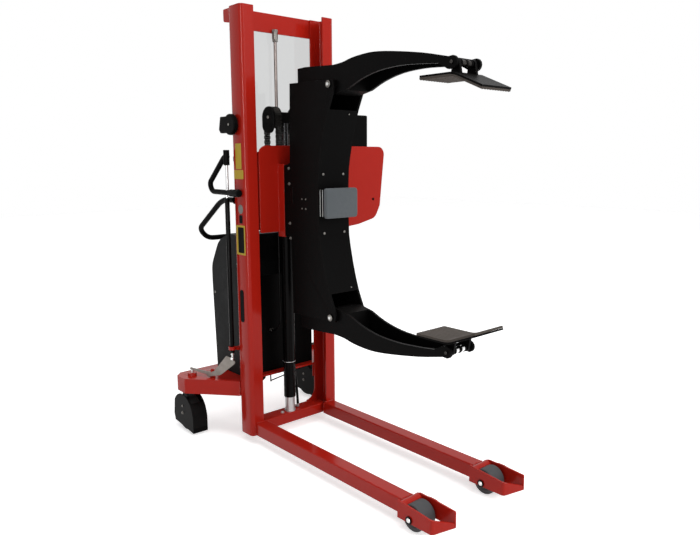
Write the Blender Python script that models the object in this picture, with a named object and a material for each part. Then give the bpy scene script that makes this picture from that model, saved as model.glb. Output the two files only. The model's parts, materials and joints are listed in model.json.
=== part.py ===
"""Reel handling stacker: a hydraulic mast on two legs, with a rotating clamp that grips a reel between two arms.

Metres, +Z up. The operator stands at +Y and the reel is at -Y. "Near" is the -X side and "far" is the +X side.
Sizes are given from the mast's centre plane and its front face, and the whole machine is then centred on the floor.
"""

import math

import bmesh
import bpy
from mathutils import Matrix, Vector

# Clearances between pieces
SEAT = 0.0003
RUNNING = 0.0005

# Mast
MAST_HEIGHT = 1.800
MAST_WIDTH = 0.470
COLUMN_DEPTH = 0.092
COLUMN_FLANGE = 0.061
COLUMN_WALL = 0.008
COLUMN_CORNER = 0.016
COLUMN_BASE = 0.037
EAR_REACH = 0.058
EAR_HEIGHT = 0.060
GUSSET_HEIGHT = 0.060
GUSSET_LENGTH = 0.048
BEAM_HEIGHT = 0.077
BEAM_THICKNESS = 0.008
MEMBER_HEIGHT = 0.022
MEMBER_DEPTH = 0.020
MEMBER_LEVEL = 1.196
SCREEN_THICKNESS = 0.003
ROD_RADIUS = 0.006
ROD_OFFSET = -0.016
ROD_DEPTH = 0.081
SOCKET_RADIUS = 0.0105
SOCKET_HEIGHT = 0.022
SOCKET_RISE = 0.006
EAR_WALL = 0.010

# Legs
LEG_OUTER = 0.216
LEG_WIDTH = 0.057
LEG_HEIGHT = 0.054
LEG_LENGTH = 0.862
LEG_WALL = 0.006
CROSSBAR_FRONT = 0.019
CROSSBAR_HEIGHT = 0.046
NOSE_HALF = 0.047
NOSE_LENGTH = 0.183
NOSE_WALL = 0.008
NOSE_REAR_WALL = 0.006
NOSE_LOW = 0.030
NOSE_TOP = 0.105
NOSE_STEP = 0.012
NOSE_CHAMFER = 0.026
ROLLER_RADIUS = 0.046
ROLLER_WIDTH = 0.070
ROLLER_SETBACK = 0.055
AXLE_RADIUS = 0.010
AXLE_HEAD = 0.014

# Rear base
PLATE_LEVEL = 0.260
PLATE_THICKNESS = 0.008
PLATE_REACH = 0.395
PLATE_REAR = 0.378
SKIRT_HEIGHT = 0.066
SKIRT_WALL = 0.006
CASTER_SIDE = 0.342
CASTER_DEPTH = 0.309
CASTER_TRAIL = 0.036
CASTER_RADIUS = 0.080
CASTER_WIDTH = 0.050
FORK_WALL = 0.006
FORK_HEAD_RADIUS = 0.034
CASTER_AXLE_RADIUS = 0.008
GUARD_WALL = 0.003
GUARD_GAP = 0.013
HUB_RADIUS = 0.020
HUB_HEIGHT = 0.012
PLUNGER_STAND = 0.014
PLUNGER_RADIUS = 0.006

# Power pack
COVER_HALF = 0.190
COVER_FRONT = 0.128
COVER_HEIGHT = 0.625
COVER_WALL = 0.004
PANEL_HEIGHT = 0.440
PANEL_THICKNESS = 0.003
MOTOR_RADIUS = 0.055
MOTOR_SIDE = -0.080
MOTOR_DEPTH = 0.215
BATTERY_WIDTH = 0.180
BATTERY_DEPTH = 0.120
BATTERY_HEIGHT = 0.210

# Push bar and brake gear
BAR_RADIUS = 0.011
BAR_TOP = 1.038
BAR_LOW = 0.850
BAR_REAR = 0.420
HANDLE_SIDE = -0.2505
HANDLE_PIVOT_DEPTH = 0.045
HANDLE_PIVOT_HEIGHT = 1.069
HANDLE_RADIUS = 0.010
SLEEVE_DEPTH = 0.110
GUIDE_EYE_HEIGHT = 0.400
PIVOT_BOSS_RADIUS = 0.016
BRAKE_TUBE_RADIUS = 0.010
BRAKE_TUBE_DEPTH = 0.115
BRAKE_TUBE_FOOT = 0.352
LEVER_THICKNESS = 0.006
LEVER_PIVOT = 0.110
LEVER_RISE = 0.030
CONTROL_HEIGHT = 1.343
CONTROL_DEPTH = 0.066
CONTROL_RADIUS = 0.042
CONTROL_REACH = 0.080
CONTROL_WIDTH = 0.020
CONTROL_STAND = 0.006
CONTROL_BOLT = 0.006

# Lift cylinder, crosshead and chains
CYLINDER_DEPTH = 0.0475
BARREL_RADIUS = 0.027
BARREL_TOP = 1.000
BARREL_FLOOR = 0.350
RAM_RADIUS = 0.0175
RAM_FOOT = 0.640
CROSSHEAD_LEVEL = 1.377
CROSSHEAD_HALF = 0.022
SHEAVE_SHAFT = 0.010
SHEAVE_SIDE = 0.065
SHEAVE_RADIUS = 0.040
SHEAVE_FLANGE = 0.0045
SHEAVE_WIDTH = 0.026
CHAIN_WIDTH = 0.014
CHAIN_THICKNESS = 0.004
YOKE_HEIGHT = 0.025
CHAIN_ANCHOR = 0.930

# Carriage
CARRIAGE_HALF = 0.170
CARRIAGE_LOW = 0.905
CARRIAGE_TOP = 1.260
CARRIAGE_PLATE = 0.008
CARRIAGE_CORNER = 0.036
CARRIAGE_ROLLER_RADIUS = 0.0370
CARRIAGE_ROLLER_WIDTH = 0.028
ROLLER_OUTER = 0.218
CARRIAGE_AXLE_RADIUS = 0.011
ROLLER_LEVELS = (0.952, 1.212)
CHEEK_HALF_HEIGHT = 0.150
CHEEK_REACH = 0.047
CHEEK_WALL = 0.008
WING_REACH = 0.497
WING_TAPER = 0.026
WING_WALL = 0.008
WING_CORNER = 0.035
BOX_INNER = 0.255
BOX_OUTER = 0.400
BOX_LOW = 1.200
BOX_TOP = 1.398
BOX_DEPTH = 0.070

# Clamp, by height from the rotation axis
CLAMP_AXIS = 1.035
CLAMP_HALF = 0.078
CLAMP_WALL = 0.010
CLAMP_REAR = 0.098
TURNTABLE_REAR = 0.075
SHAFT_RADIUS = 0.040
ARM_PIN_DEPTH = 0.340
ARM_PIN_HEIGHT = 0.443
ARM_PIN_RADIUS = 0.014
ARM_HALF = 0.0625
ARM_WALL = 0.010
PAD_PIN_DEPTH = 0.915
PAD_PIN_HEIGHT = 0.462
PAD_PIN_RADIUS = 0.007
PAD_HALF = 0.0725
PAD_PLATE = 0.006
PAD_RUBBER = 0.008
PAD_FOLD_AHEAD = 0.010
PAD_FOLD_DROP = 0.045
PAD_HEEL_REACH = 0.125
PAD_TIP_REACH = 0.121
PAD_TIP_DROP = 0.092
LUG_SIDE = 0.034
LUG_WIDTH = 0.010
BUFFER_HALF_WIDTH = 0.080
BUFFER_HALF_HEIGHT = 0.058
BUFFER_FACE = 0.326
BUFFER_RUBBER = 0.028
ROD_END_RADIUS = 0.015
ACTUATOR_RADIUS = 0.030
ACTUATOR_DEPTH = 0.170
ACTUATOR_HALF = 0.200
ACTUATOR_MIDDLE = 0.020
ROD_FOOT = 0.082
ROD_CLEAR = 0.001
HEEL_RISE = 0.020
HEEL_LENGTH = 0.208
HEEL_HEIGHT = 0.076
# Edges of an arm between its two pins, as (share of the way, rise above the line through the pins)
ARM_OUTER_EDGE = ((0.104, 0.071), (0.191, 0.0794), (0.296, 0.0834), (0.397, 0.0825), (0.544, 0.0717), (0.783, 0.0461),
                  (0.974, 0.0185))
ARM_INNER_EDGE = ((0.904, 0.0028), (0.765, 0.0125), (0.609, 0.0194), (0.435, 0.0167), (0.278, -0.0003), (0.157, -0.025))
# Front plate of the clamp, as (setback from the arm pin, share of the arm pin's height)
CLAMP_FRONT = ((-0.008, 0.869), (0.007, 0.795), (0.025, 0.677), (0.042, 0.542), (0.057, 0.395), (0.065, 0.293), (0.068, 0.135))
# Pipe from the pump to the lift cylinder's head
PIPE_RADIUS = 0.004
PIPE_SIDE = -0.040
PIPE_DEPTH = 0.052
PIPE_TOP = 0.945
PIPE_LOW = 0.452

HEEL_UNDERSIDE = ARM_PIN_HEIGHT + HEEL_RISE
COLUMN_INNER = MAST_WIDTH / 2 - COLUMN_FLANGE
PLATE_UNDERSIDE = PLATE_LEVEL - PLATE_THICKNESS
GUIDE_FOOT = BARREL_TOP + SEAT
LEG_TOP = COLUMN_BASE + LEG_HEIGHT
LEG_MIDDLE = LEG_OUTER - LEG_WIDTH / 2
AXLE_DEPTH = -(LEG_LENGTH + ROLLER_SETBACK)
SIDES = (("near", -1), ("far", 1))
ENDS = (("upper", 1), ("lower", -1))
AXES = {"X": (1, 2, 0), "Y": (0, 2, 1), "Z": (0, 1, 2)}
PAINTS = {
    "red_paint": ((0.62, 0.035, 0.02), 0.35, 0.0),
    "black_paint": ((0.018, 0.018, 0.02), 0.4, 0.0),
    "dark_plastic": ((0.05, 0.055, 0.06), 0.55, 0.0),
    "chrome": ((0.8, 0.8, 0.8), 0.12, 1.0),
    "zinc": ((0.62, 0.63, 0.62), 0.35, 1.0),
    "steel": ((0.45, 0.45, 0.45), 0.4, 1.0),
    "grey_rubber": ((0.22, 0.24, 0.26), 0.7, 0.0),
    "black_rubber": ((0.04, 0.04, 0.042), 0.75, 0.0),
    "clear_plastic": ((0.85, 0.9, 0.88), 0.1, 0.0),
}


def clear_scene():
    for old in list(bpy.data.objects):
        bpy.data.objects.remove(old, do_unlink=True)


def paint(name):
    """The named material, made the first time that it is asked for."""
    found = bpy.data.materials.get(name)
    if found:
        return found
    colour, roughness, metallic = PAINTS[name]
    made = bpy.data.materials.new(name)
    made.use_nodes = True
    shader = made.node_tree.nodes["Principled BSDF"]
    shader.inputs["Base Color"].default_value = (*colour, 1)
    shader.inputs["Roughness"].default_value = roughness
    shader.inputs["Metallic"].default_value = metallic
    made.diffuse_color = (*colour, 1)
    return made


def object_from(bm, name, material, smooth=True):
    bmesh.ops.recalc_face_normals(bm, faces=bm.faces)
    mesh = bpy.data.meshes.new(name)
    bm.to_mesh(mesh)
    bm.free()
    made = bpy.data.objects.new(name, mesh)
    bpy.context.scene.collection.objects.link(made)
    mesh.materials.append(paint(material))
    if smooth:
        mesh.shade_smooth()
        mesh.set_sharp_from_angle(angle=math.radians(35))
    return made


def prism(name, outline, axis, start, end, material="red_paint", bevel=0.0):
    """An outline carried along an axis. Its pairs are (y, z) along X, (x, z) along Y and (x, y) along Z."""
    first, second, along = AXES[axis]
    bm = bmesh.new()
    corners = []
    for a, b in outline:
        place = [0.0, 0.0, 0.0]
        place[first], place[second], place[along] = a, b, start
        corners.append(bm.verts.new(place))
    base = bm.faces.new(corners)
    carried = bmesh.ops.extrude_face_region(bm, geom=[base])["geom"]
    shift = Vector((0, 0, 0))
    shift[along] = end - start
    moved = [item for item in carried if isinstance(item, bmesh.types.BMVert)]
    bmesh.ops.translate(bm, verts=moved, vec=shift)
    made = object_from(bm, name, material)
    if bevel:
        soften(made, bevel)
    return made


def block(name, low, high, material="red_paint", bevel=0.0):
    """A box between two corners."""
    outline = [(low[0], low[1]), (high[0], low[1]), (high[0], high[1]), (low[0], high[1])]
    return prism(name, outline, "Z", low[2], high[2], material, bevel)


def soften(target, width, segments=1):
    edge = target.modifiers.new("soft edges", "BEVEL")
    edge.width = width
    edge.segments = segments
    edge.limit_method = "ANGLE"
    edge.angle_limit = math.radians(40)


def turned(name, profile, axis, centre, material="steel", steps=24):
    """A profile of (radius, distance) pairs turned round an axis through centre. It is closed into a ring, or ends at
    radius 0 at both ends."""
    first, second, along = AXES[axis]
    bm = bmesh.new()
    rings = []
    for radius, distance in profile:
        count = steps if radius > 0 else 1
        ring = []
        for i in range(count):
            turn = 2 * math.pi * i / steps
            place = list(centre)
            place[first] += radius * math.cos(turn)
            place[second] += radius * math.sin(turn)
            place[along] += distance
            ring.append(bm.verts.new(place))
        rings.append(ring)
    pairs = list(zip(rings, rings[1:]))
    if all(radius > 0 for radius, _ in profile):
        pairs.append((rings[-1], rings[0]))
    for one, other in pairs:
        for i in range(steps):
            loop = [one[i % len(one)], one[(i + 1) % len(one)], other[(i + 1) % len(other)], other[i % len(other)]]
            bm.faces.new(list(dict.fromkeys(loop)))
    return object_from(bm, name, material)


def rod(name, axis, centre, radius, start, end, material="steel", steps=20):
    """A plain round bar between two places on its axis."""
    return turned(name, [(0, start), (radius, start), (radius, end), (0, end)], axis, centre, material, steps)


def ring(name, axis, centre, bore, radius, start, end, material="steel", steps=24):
    """A plain round collar with a bore."""
    profile = [(bore, start), (radius, start), (radius, end), (bore, end)]
    return turned(name, profile, axis, centre, material, steps)


def fillet_path(points, radius, steps=5):
    """The points with each inner corner replaced by an arc."""
    points = [Vector(p) for p in points]
    smooth = [points[0]]
    for before, corner, after in zip(points, points[1:], points[2:]):
        one, other = (before - corner).normalized(), (after - corner).normalized()
        half = one.angle(other) / 2
        cut = min(radius / math.tan(half), (before - corner).length / 2.01, (after - corner).length / 2.01)
        centre = corner + (one + other).normalized() * cut / math.cos(half)
        start, end = corner + one * cut - centre, corner + other * cut - centre
        for i in range(steps + 1):
            smooth.append(centre + start.slerp(end, i / steps).normalized() * start.length)
    smooth.append(points[-1])
    return smooth


def tube(name, points, radius, material="black_paint", sides=12):
    """A round bar along points in space, with flat ends."""
    points = [Vector(p) for p in points]
    bm = bmesh.new()
    rings = []
    across = None
    for i, point in enumerate(points):
        along = (points[min(i + 1, len(points) - 1)] - points[max(i - 1, 0)]).normalized()
        across = (across or along.orthogonal()).copy()
        across = (across - along * across.dot(along)).normalized()
        other = along.cross(across)
        turns = [2 * math.pi * k / sides for k in range(sides)]
        rings.append([bm.verts.new(point + radius * (across * math.cos(t) + other * math.sin(t))) for t in turns])
    for one, two in zip(rings, rings[1:]):
        for k in range(sides):
            bm.faces.new((one[k], one[(k + 1) % sides], two[(k + 1) % sides], two[k]))
    bm.faces.new(rings[0][::-1])
    bm.faces.new(rings[-1])
    return object_from(bm, name, material)


def rounded(outline, radius, steps=4):
    """A flat outline with its corners rounded. The radius is one number, or one for each corner."""
    count = len(outline)
    radii = radius if isinstance(radius, (list, tuple)) else [radius] * count
    made = []
    for i in range(count):
        before, corner, after = (Vector(outline[(i + k) % count]) for k in (-1, 0, 1))
        if radii[i] <= 0:
            made.append(tuple(corner))
            continue
        one, other = (before - corner).normalized(), (after - corner).normalized()
        half = one.angle(other) / 2
        cut = min(radii[i] / math.tan(half), (before - corner).length / 2.01, (after - corner).length / 2.01)
        centre = corner + (one + other).normalized() * cut / math.cos(half)
        start, end = corner + one * cut - centre, corner + other * cut - centre
        span = start.angle_signed(end)
        for k in range(steps + 1):
            turn = -span * k / steps
            c, s = math.cos(turn), math.sin(turn)
            made.append((centre.x + start.x * c - start.y * s, centre.y + start.x * s + start.y * c))
    return made


def arc(centre, radius, start, end, steps):
    """Points of an arc, with its angles in degrees."""
    turns = [math.radians(start + (end - start) * i / steps) for i in range(steps + 1)]
    return [(centre[0] + radius * math.cos(t), centre[1] + radius * math.sin(t)) for t in turns]


def combine(target, operation, others):
    """Booleans that stay on the target. The other shapes become hidden helpers."""
    for other in others:
        step = target.modifiers.new(operation.lower(), "BOOLEAN")
        step.operation = operation
        step.object = other
        step.solver = "EXACT"
        other.hide_render = True
        other.display_type = "WIRE"
    return target


def fuse(target, *others):
    return combine(target, "UNION", others)


def cut(target, *others):
    return combine(target, "DIFFERENCE", others)


def carrier(name, place, parent):
    """An empty on a joint's axis, at a place in the machine's own coordinates."""
    made = bpy.data.objects.new(name, None)
    bpy.context.scene.collection.objects.link(made)
    made["place"] = tuple(place)
    made.parent = parent
    home = Vector(parent["place"]) if parent and "place" in parent else Vector((0, 0, 0))
    made.location = Vector(place) - home
    return made


def with_helpers(piece):
    """A piece, the helpers of its Booleans, and theirs."""
    found = [piece]
    for step in piece.modifiers:
        if step.type == "BOOLEAN":
            found += with_helpers(step.object)
    return found


def hang(pieces, body):
    """Parents pieces and their helpers to the empty of their body."""
    for piece in pieces:
        for member in with_helpers(piece):
            member.parent = body
            member.location = member.location - Vector(body["place"])


def column_outline(side):
    """A channel section that opens towards the middle of the mast, with round outer corners."""
    outer = MAST_WIDTH / 2
    shell = [(outer, 0), (outer, COLUMN_DEPTH), (COLUMN_INNER, COLUMN_DEPTH), (COLUMN_INNER, COLUMN_DEPTH - COLUMN_WALL),
             (outer - COLUMN_WALL, COLUMN_DEPTH - COLUMN_WALL), (outer - COLUMN_WALL, COLUMN_WALL),
             (COLUMN_INNER, COLUMN_WALL), (COLUMN_INNER, 0)]
    inner_corner = COLUMN_CORNER - COLUMN_WALL
    radii = [COLUMN_CORNER, COLUMN_CORNER, 0, 0, inner_corner, inner_corner, 0, 0]
    return [(side * x, y) for x, y in rounded(shell, radii, 3)]


def make_columns():
    made = []
    for word, side in SIDES:
        column = prism(word + "_column", column_outline(side), "Z", COLUMN_BASE, MAST_HEIGHT)
        outer = side * MAST_WIDTH / 2
        rear = COLUMN_DEPTH - COLUMN_WALL / 2
        ear = rounded([(rear, MAST_HEIGHT), (COLUMN_DEPTH + EAR_REACH, MAST_HEIGHT),
                       (COLUMN_DEPTH + EAR_REACH, MAST_HEIGHT - EAR_HEIGHT * 0.8),
                       (rear, MAST_HEIGHT - EAR_HEIGHT)], [0, 0.006, 0.010, 0])
        inner_face = outer - side * (COLUMN_CORNER + EAR_WALL)
        lug = prism(word + " ear", ear, "X", outer - side * COLUMN_CORNER, inner_face)
        foot = COLUMN_BASE + CROSSBAR_HEIGHT + SEAT
        tip, lift = COLUMN_INNER - GUSSET_LENGTH, GUSSET_HEIGHT - 0.004
        curve = [(tip + GUSSET_LENGTH * math.sin(t), foot + 0.004 + lift * (1 - math.cos(t)))
                 for t in (math.radians(90 * i / 6) for i in range(7))]
        outline = [(side * x, z) for x, z in [(COLUMN_INNER + 0.002, foot), (tip, foot), *curve,
                                              (COLUMN_INNER + 0.002, foot + GUSSET_HEIGHT)]]
        gusset = prism(word + " gusset", outline, "Y", COLUMN_DEPTH - COLUMN_WALL + 0.001, COLUMN_DEPTH - 0.001)
        made.append(fuse(column, lug, gusset))
    return made


def make_mast_pieces():
    half = MAST_WIDTH / 2 - COLUMN_CORNER
    low = MAST_HEIGHT - BEAM_HEIGHT
    front = COLUMN_DEPTH + SEAT
    between_ears = half - EAR_WALL - SEAT
    beam = block("top_beam", (-between_ears, front, low), (between_ears, front + BEAM_THICKNESS, MAST_HEIGHT), bevel=0.001)
    socket_place = (ROD_OFFSET, ROD_DEPTH, low)
    socket = ring("rod socket", "Z", socket_place, ROD_RADIUS + SEAT, SOCKET_RADIUS, -SOCKET_HEIGHT, SOCKET_RISE)
    arm_low = (ROD_OFFSET - ROD_RADIUS, ROD_DEPTH + SOCKET_RADIUS - 0.002, low - SOCKET_HEIGHT)
    socket_arm = block("socket arm", arm_low, (ROD_OFFSET + ROD_RADIUS, front + 0.002, low + SOCKET_RISE))
    fuse(beam, socket, socket_arm)
    member_top = MEMBER_LEVEL + MEMBER_HEIGHT
    member = block("cross_member", (-half, front, MEMBER_LEVEL), (half, front + MEMBER_DEPTH, member_top),
                   "black_paint", 0.002)
    foot, shoulder, top = member_top + SEAT, MAST_HEIGHT - EAR_HEIGHT - 0.004, MAST_HEIGHT - 0.010
    right = [(half, foot), (half, shoulder), (between_ears, shoulder), (between_ears, top)]
    left = [(-x, z) for x, z in reversed(right)]
    screen_front = front + BEAM_THICKNESS + SEAT
    screen = prism("screen", right + left, "Y", screen_front, screen_front + SCREEN_THICKNESS, "clear_plastic")
    guide = rod("guide_rod", "Z", (ROD_OFFSET, ROD_DEPTH, 0), ROD_RADIUS, GUIDE_FOOT, low, "chrome", 12)
    return [beam, member, screen, guide]


def make_legs():
    """Channel legs that open downwards, the crossbar between the columns, and the roller noses."""
    made = []
    for word, side in SIDES:
        low, high = sorted((side * LEG_OUTER, side * (LEG_OUTER - LEG_WIDTH)))
        leg = block(word + "_leg", (low, -LEG_LENGTH, COLUMN_BASE), (high, -SEAT, LEG_TOP), bevel=0.003)
        wall = LEG_WALL
        hollow = block(word + " leg hollow", (low + wall, -LEG_LENGTH + wall, COLUMN_BASE - 0.01),
                       (high - wall, -LEG_WALL, LEG_TOP - wall))
        made.append(cut(leg, hollow))
        made += make_nose(word, side * LEG_MIDDLE)
    inner = COLUMN_INNER - SEAT
    crossbar = block("crossbar", (-inner, CROSSBAR_FRONT, COLUMN_BASE), (inner, COLUMN_DEPTH, COLUMN_BASE + CROSSBAR_HEIGHT),
                     bevel=0.003)
    made.append(crossbar)
    return made


def nose_plan(middle, half, rear, front, chamfer):
    return [(middle - half, rear), (middle + half, rear), (middle + half, front + chamfer),
            (middle + half - chamfer, front), (middle - half + chamfer, front), (middle - half, front + chamfer)]


def make_nose(word, middle):
    """A welded loop round the load roller, with its axle."""
    rear, front = -LEG_LENGTH - SEAT, -LEG_LENGTH - NOSE_LENGTH
    plan = nose_plan(middle, NOSE_HALF, rear, front, NOSE_CHAMFER)
    nose = prism(word + "_nose", plan, "Z", NOSE_LOW, NOSE_TOP, bevel=0.002)
    inner = nose_plan(middle, NOSE_HALF - NOSE_WALL, rear - NOSE_REAR_WALL, front + NOSE_WALL, NOSE_CHAMFER - NOSE_WALL * 0.4)
    well = prism(word + " nose well", inner, "Z", NOSE_LOW - 0.02, NOSE_TOP + 0.02)
    step_rear = AXLE_DEPTH - ROLLER_RADIUS * 0.55
    step = block(word + " nose step", (middle - 0.1, front - 0.02, NOSE_TOP - NOSE_STEP), (middle + 0.1, step_rear, NOSE_TOP + 0.02))
    bore = rod(word + " axle bore", "X", (0, AXLE_DEPTH, ROLLER_RADIUS), AXLE_RADIUS + SEAT, middle - 0.1, middle + 0.1)
    cut(nose, well, step, bore)
    outside = NOSE_HALF + SEAT
    head = outside + 0.005
    profile = [(0, -head), (AXLE_HEAD, -head), (AXLE_HEAD, -outside), (AXLE_RADIUS, -outside), (AXLE_RADIUS, outside),
               (AXLE_HEAD, outside), (AXLE_HEAD, head), (0, head)]
    axle = turned(word + "_load_axle", profile, "X", (middle, AXLE_DEPTH, ROLLER_RADIUS), "steel", 16)
    return [nose, axle]


def make_load_rollers():
    half, bore = ROLLER_WIDTH / 2, AXLE_RADIUS + RUNNING
    rim = ROLLER_RADIUS
    profile = [(bore, -half), (rim * 0.55, -half), (rim * 0.60, -half + 0.003), (rim - 0.004, -half + 0.003),
               (rim, -half + 0.007), (rim, half - 0.007), (rim - 0.004, half - 0.003), (rim * 0.60, half - 0.003),
               (rim * 0.55, half), (bore, half)]
    made = {}
    for word, side in SIDES:
        centre = (side * LEG_MIDDLE, AXLE_DEPTH, ROLLER_RADIUS)
        made[word] = turned(word + "_load_roller", profile, "X", centre, "grey_rubber", 24)
    return made


def base_plan(inset):
    """Half of the rear base's outline, seen from above, from the mast outwards and back."""
    mast = MAST_WIDTH / 2 - inset
    reach, rear = PLATE_REACH - inset, PLATE_REAR - inset
    start = COLUMN_DEPTH + SEAT + inset
    return [(mast, start), (reach - 0.030, CASTER_DEPTH - 0.062 + inset), (reach, CASTER_DEPTH - 0.028 + inset),
            (reach, rear - 0.030), (reach - 0.030, rear)]


def make_base_plate():
    """A pressed tray, open below, with a hub over each caster and holes for the plunger and the motor."""
    def whole(inset):
        half = base_plan(inset)
        return [(-x, y) for x, y in half] + [(x, y) for x, y in reversed(half)]

    skirt_foot = PLATE_LEVEL - SKIRT_HEIGHT
    plate = prism("base_plate", whole(0), "Z", skirt_foot, PLATE_LEVEL)
    hollow = prism("base hollow", whole(SKIRT_WALL), "Z", skirt_foot - 0.02, PLATE_UNDERSIDE)
    motor_hole = rod("motor hole", "Z", (MOTOR_SIDE, MOTOR_DEPTH, 0), MOTOR_RADIUS + SEAT, PLATE_UNDERSIDE - 0.01,
                     PLATE_LEVEL + 0.02, steps=24)
    cut(plate, hollow)
    for word, side in SIDES:
        centre = (side * CASTER_SIDE, CASTER_DEPTH, 0)
        hub = rod(word + " hub", "Z", centre, HUB_RADIUS, PLATE_LEVEL - 0.002, PLATE_LEVEL + HUB_HEIGHT)
        fuse(plate, hub)
    bracket = make_lever_bracket()
    fuse(plate, bracket)
    bore = rod("plunger bore", "Z", (-CASTER_SIDE, CASTER_DEPTH, 0), PLUNGER_RADIUS + RUNNING, PLATE_UNDERSIDE - 0.01,
               PLATE_LEVEL + HUB_HEIGHT + 0.01, steps=12)
    return cut(plate, motor_hole, bore)


def lever_frame():
    """The brake lever's plane: its origin under the brake tube, and the level direction towards the near caster."""
    start = Vector((HANDLE_SIDE, BRAKE_TUBE_DEPTH, 0))
    end = Vector((-CASTER_SIDE, CASTER_DEPTH, 0))
    return start, (end - start).normalized(), (end - start).length


def stand_in_plane(piece):
    """Turns a piece drawn in the X, Z plane into the brake lever's plane."""
    start, along, _ = lever_frame()
    turn = Matrix.Rotation(math.atan2(along.y, along.x), 4, "Z")
    piece.data.transform(Matrix.Translation(start) @ turn)
    return piece


def lever_pivot_height():
    return PLATE_LEVEL + LEVER_RISE


def make_lever_bracket():
    """Two ears and a pin that carry the brake lever."""
    height, gap = lever_pivot_height(), LEVER_THICKNESS / 2 + RUNNING
    outline = [(LEVER_PIVOT - 0.014, PLATE_LEVEL - 0.002), (LEVER_PIVOT + 0.014, PLATE_LEVEL - 0.002)]
    outline += arc((LEVER_PIVOT, height), 0.010, 0, 180, 6)
    ears = [prism("lever ear", outline, "Y", gap, gap + 0.004), prism("lever ear", outline, "Y", -gap - 0.004, -gap)]
    pin = rod("lever pin", "Y", (LEVER_PIVOT, 0, height), 0.004, -gap - 0.002, gap + 0.002, steps=12)
    for piece in (*ears, pin):
        stand_in_plane(piece)
    return fuse(ears[0], ears[1], pin)


def make_brake_gear():
    start, along, reach = lever_frame()
    pivot, top = lever_pivot_height(), BRAKE_TUBE_FOOT - SEAT
    tip = PLATE_LEVEL + HUB_HEIGHT + PLUNGER_STAND + SEAT
    outline = [(-0.012, top - 0.016), (-0.012, top), (0.012, top), (LEVER_PIVOT - 0.030, pivot + 0.022),
               (LEVER_PIVOT + 0.020, pivot + 0.010), (reach + 0.010, tip + 0.010), (reach + 0.010, tip),
               (reach - 0.012, tip), (LEVER_PIVOT + 0.010, pivot - 0.009), (LEVER_PIVOT - 0.014, pivot - 0.007),
               (LEVER_PIVOT - 0.045, pivot + 0.008)]
    lever = prism("brake_lever", rounded(outline, 0.004, 2), "Y", -LEVER_THICKNESS / 2, LEVER_THICKNESS / 2, "zinc")
    bore = rod("lever bore", "Y", (LEVER_PIVOT, 0, pivot), 0.0045, -0.02, 0.02, steps=12)
    for piece in (lever, bore):
        stand_in_plane(piece)
    cut(lever, bore)
    plunger_top = PLATE_LEVEL + HUB_HEIGHT + PLUNGER_STAND
    plunger = rod("brake_plunger", "Z", (-CASTER_SIDE, CASTER_DEPTH, 0), PLUNGER_RADIUS, PLATE_UNDERSIDE, plunger_top, "steel", 12)
    tube_top = HANDLE_PIVOT_HEIGHT - HANDLE_RADIUS - SEAT
    profile = [(0, BRAKE_TUBE_FOOT), (0.005, BRAKE_TUBE_FOOT), (0.005, BRAKE_TUBE_FOOT + 0.036),
               (BRAKE_TUBE_RADIUS, BRAKE_TUBE_FOOT + 0.040), (BRAKE_TUBE_RADIUS, tube_top - 0.012),
               (0.005, tube_top - 0.010), (0.005, tube_top), (0, tube_top)]
    brake_tube = turned("brake_tube", profile, "Z", (HANDLE_SIDE, BRAKE_TUBE_DEPTH, 0), "black_paint", 14)
    guide = ring("tube guide", "Z", (HANDLE_SIDE, BRAKE_TUBE_DEPTH, 0), BRAKE_TUBE_RADIUS + RUNNING, BRAKE_TUBE_RADIUS + 0.005,
                 GUIDE_EYE_HEIGHT, GUIDE_EYE_HEIGHT + 0.014, steps=16)
    arm_low = (HANDLE_SIDE + BRAKE_TUBE_RADIUS + 0.003, COLUMN_DEPTH + SEAT, GUIDE_EYE_HEIGHT)
    eye_arm = block("guide_eye", arm_low, (-MAST_WIDTH / 2 + COLUMN_CORNER + 0.012, BRAKE_TUBE_DEPTH + 0.006, GUIDE_EYE_HEIGHT + 0.010))
    eye = fuse(eye_arm, guide)
    return lever, plunger, brake_tube, eye, make_brake_handle()


def make_brake_handle():
    """A loop of tube on a pivot, closed by a rod through its upper sleeve."""
    level = HANDLE_PIVOT_HEIGHT
    corners = [(HANDLE_SIDE, HANDLE_PIVOT_DEPTH, level), (HANDLE_SIDE, 0.235, level + 0.002), (HANDLE_SIDE, 0.256, level + 0.036),
               (HANDLE_SIDE, 0.128, level + 0.146), (HANDLE_SIDE, SLEEVE_DEPTH, level + 0.148)]
    handle = tube("brake_handle", fillet_path(corners, 0.030), HANDLE_RADIUS, "black_paint", 12)
    sleeve = rod("sleeve", "Z", (HANDLE_SIDE, SLEEVE_DEPTH, level), 0.0125, 0.112, 0.174, steps=14)
    link = rod("link rod", "Z", (HANDLE_SIDE, SLEEVE_DEPTH, level), 0.006, 0, 0.120, steps=10)
    outer = -MAST_WIDTH / 2 - SEAT
    boss = rod("pivot boss", "X", (0, HANDLE_PIVOT_DEPTH, level), PIVOT_BOSS_RADIUS, HANDLE_SIDE - 0.012, outer, steps=16)
    return fuse(handle, sleeve, link, boss)


def make_push_bar():
    side = MAST_WIDTH / 2 - COLUMN_CORNER + 0.003
    half = [(side, COLUMN_DEPTH + SEAT, BAR_TOP), (side, 0.200, BAR_TOP), (side, BAR_REAR - 0.010, BAR_TOP - 0.142),
            (side - 0.045, BAR_REAR, BAR_LOW)]
    corners = [(-x, y, z) for x, y, z in half] + [(x, y, z) for x, y, z in reversed(half)]
    return tube("push_bar", fillet_path(corners, 0.045), BAR_RADIUS, "black_paint", 12)


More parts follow.
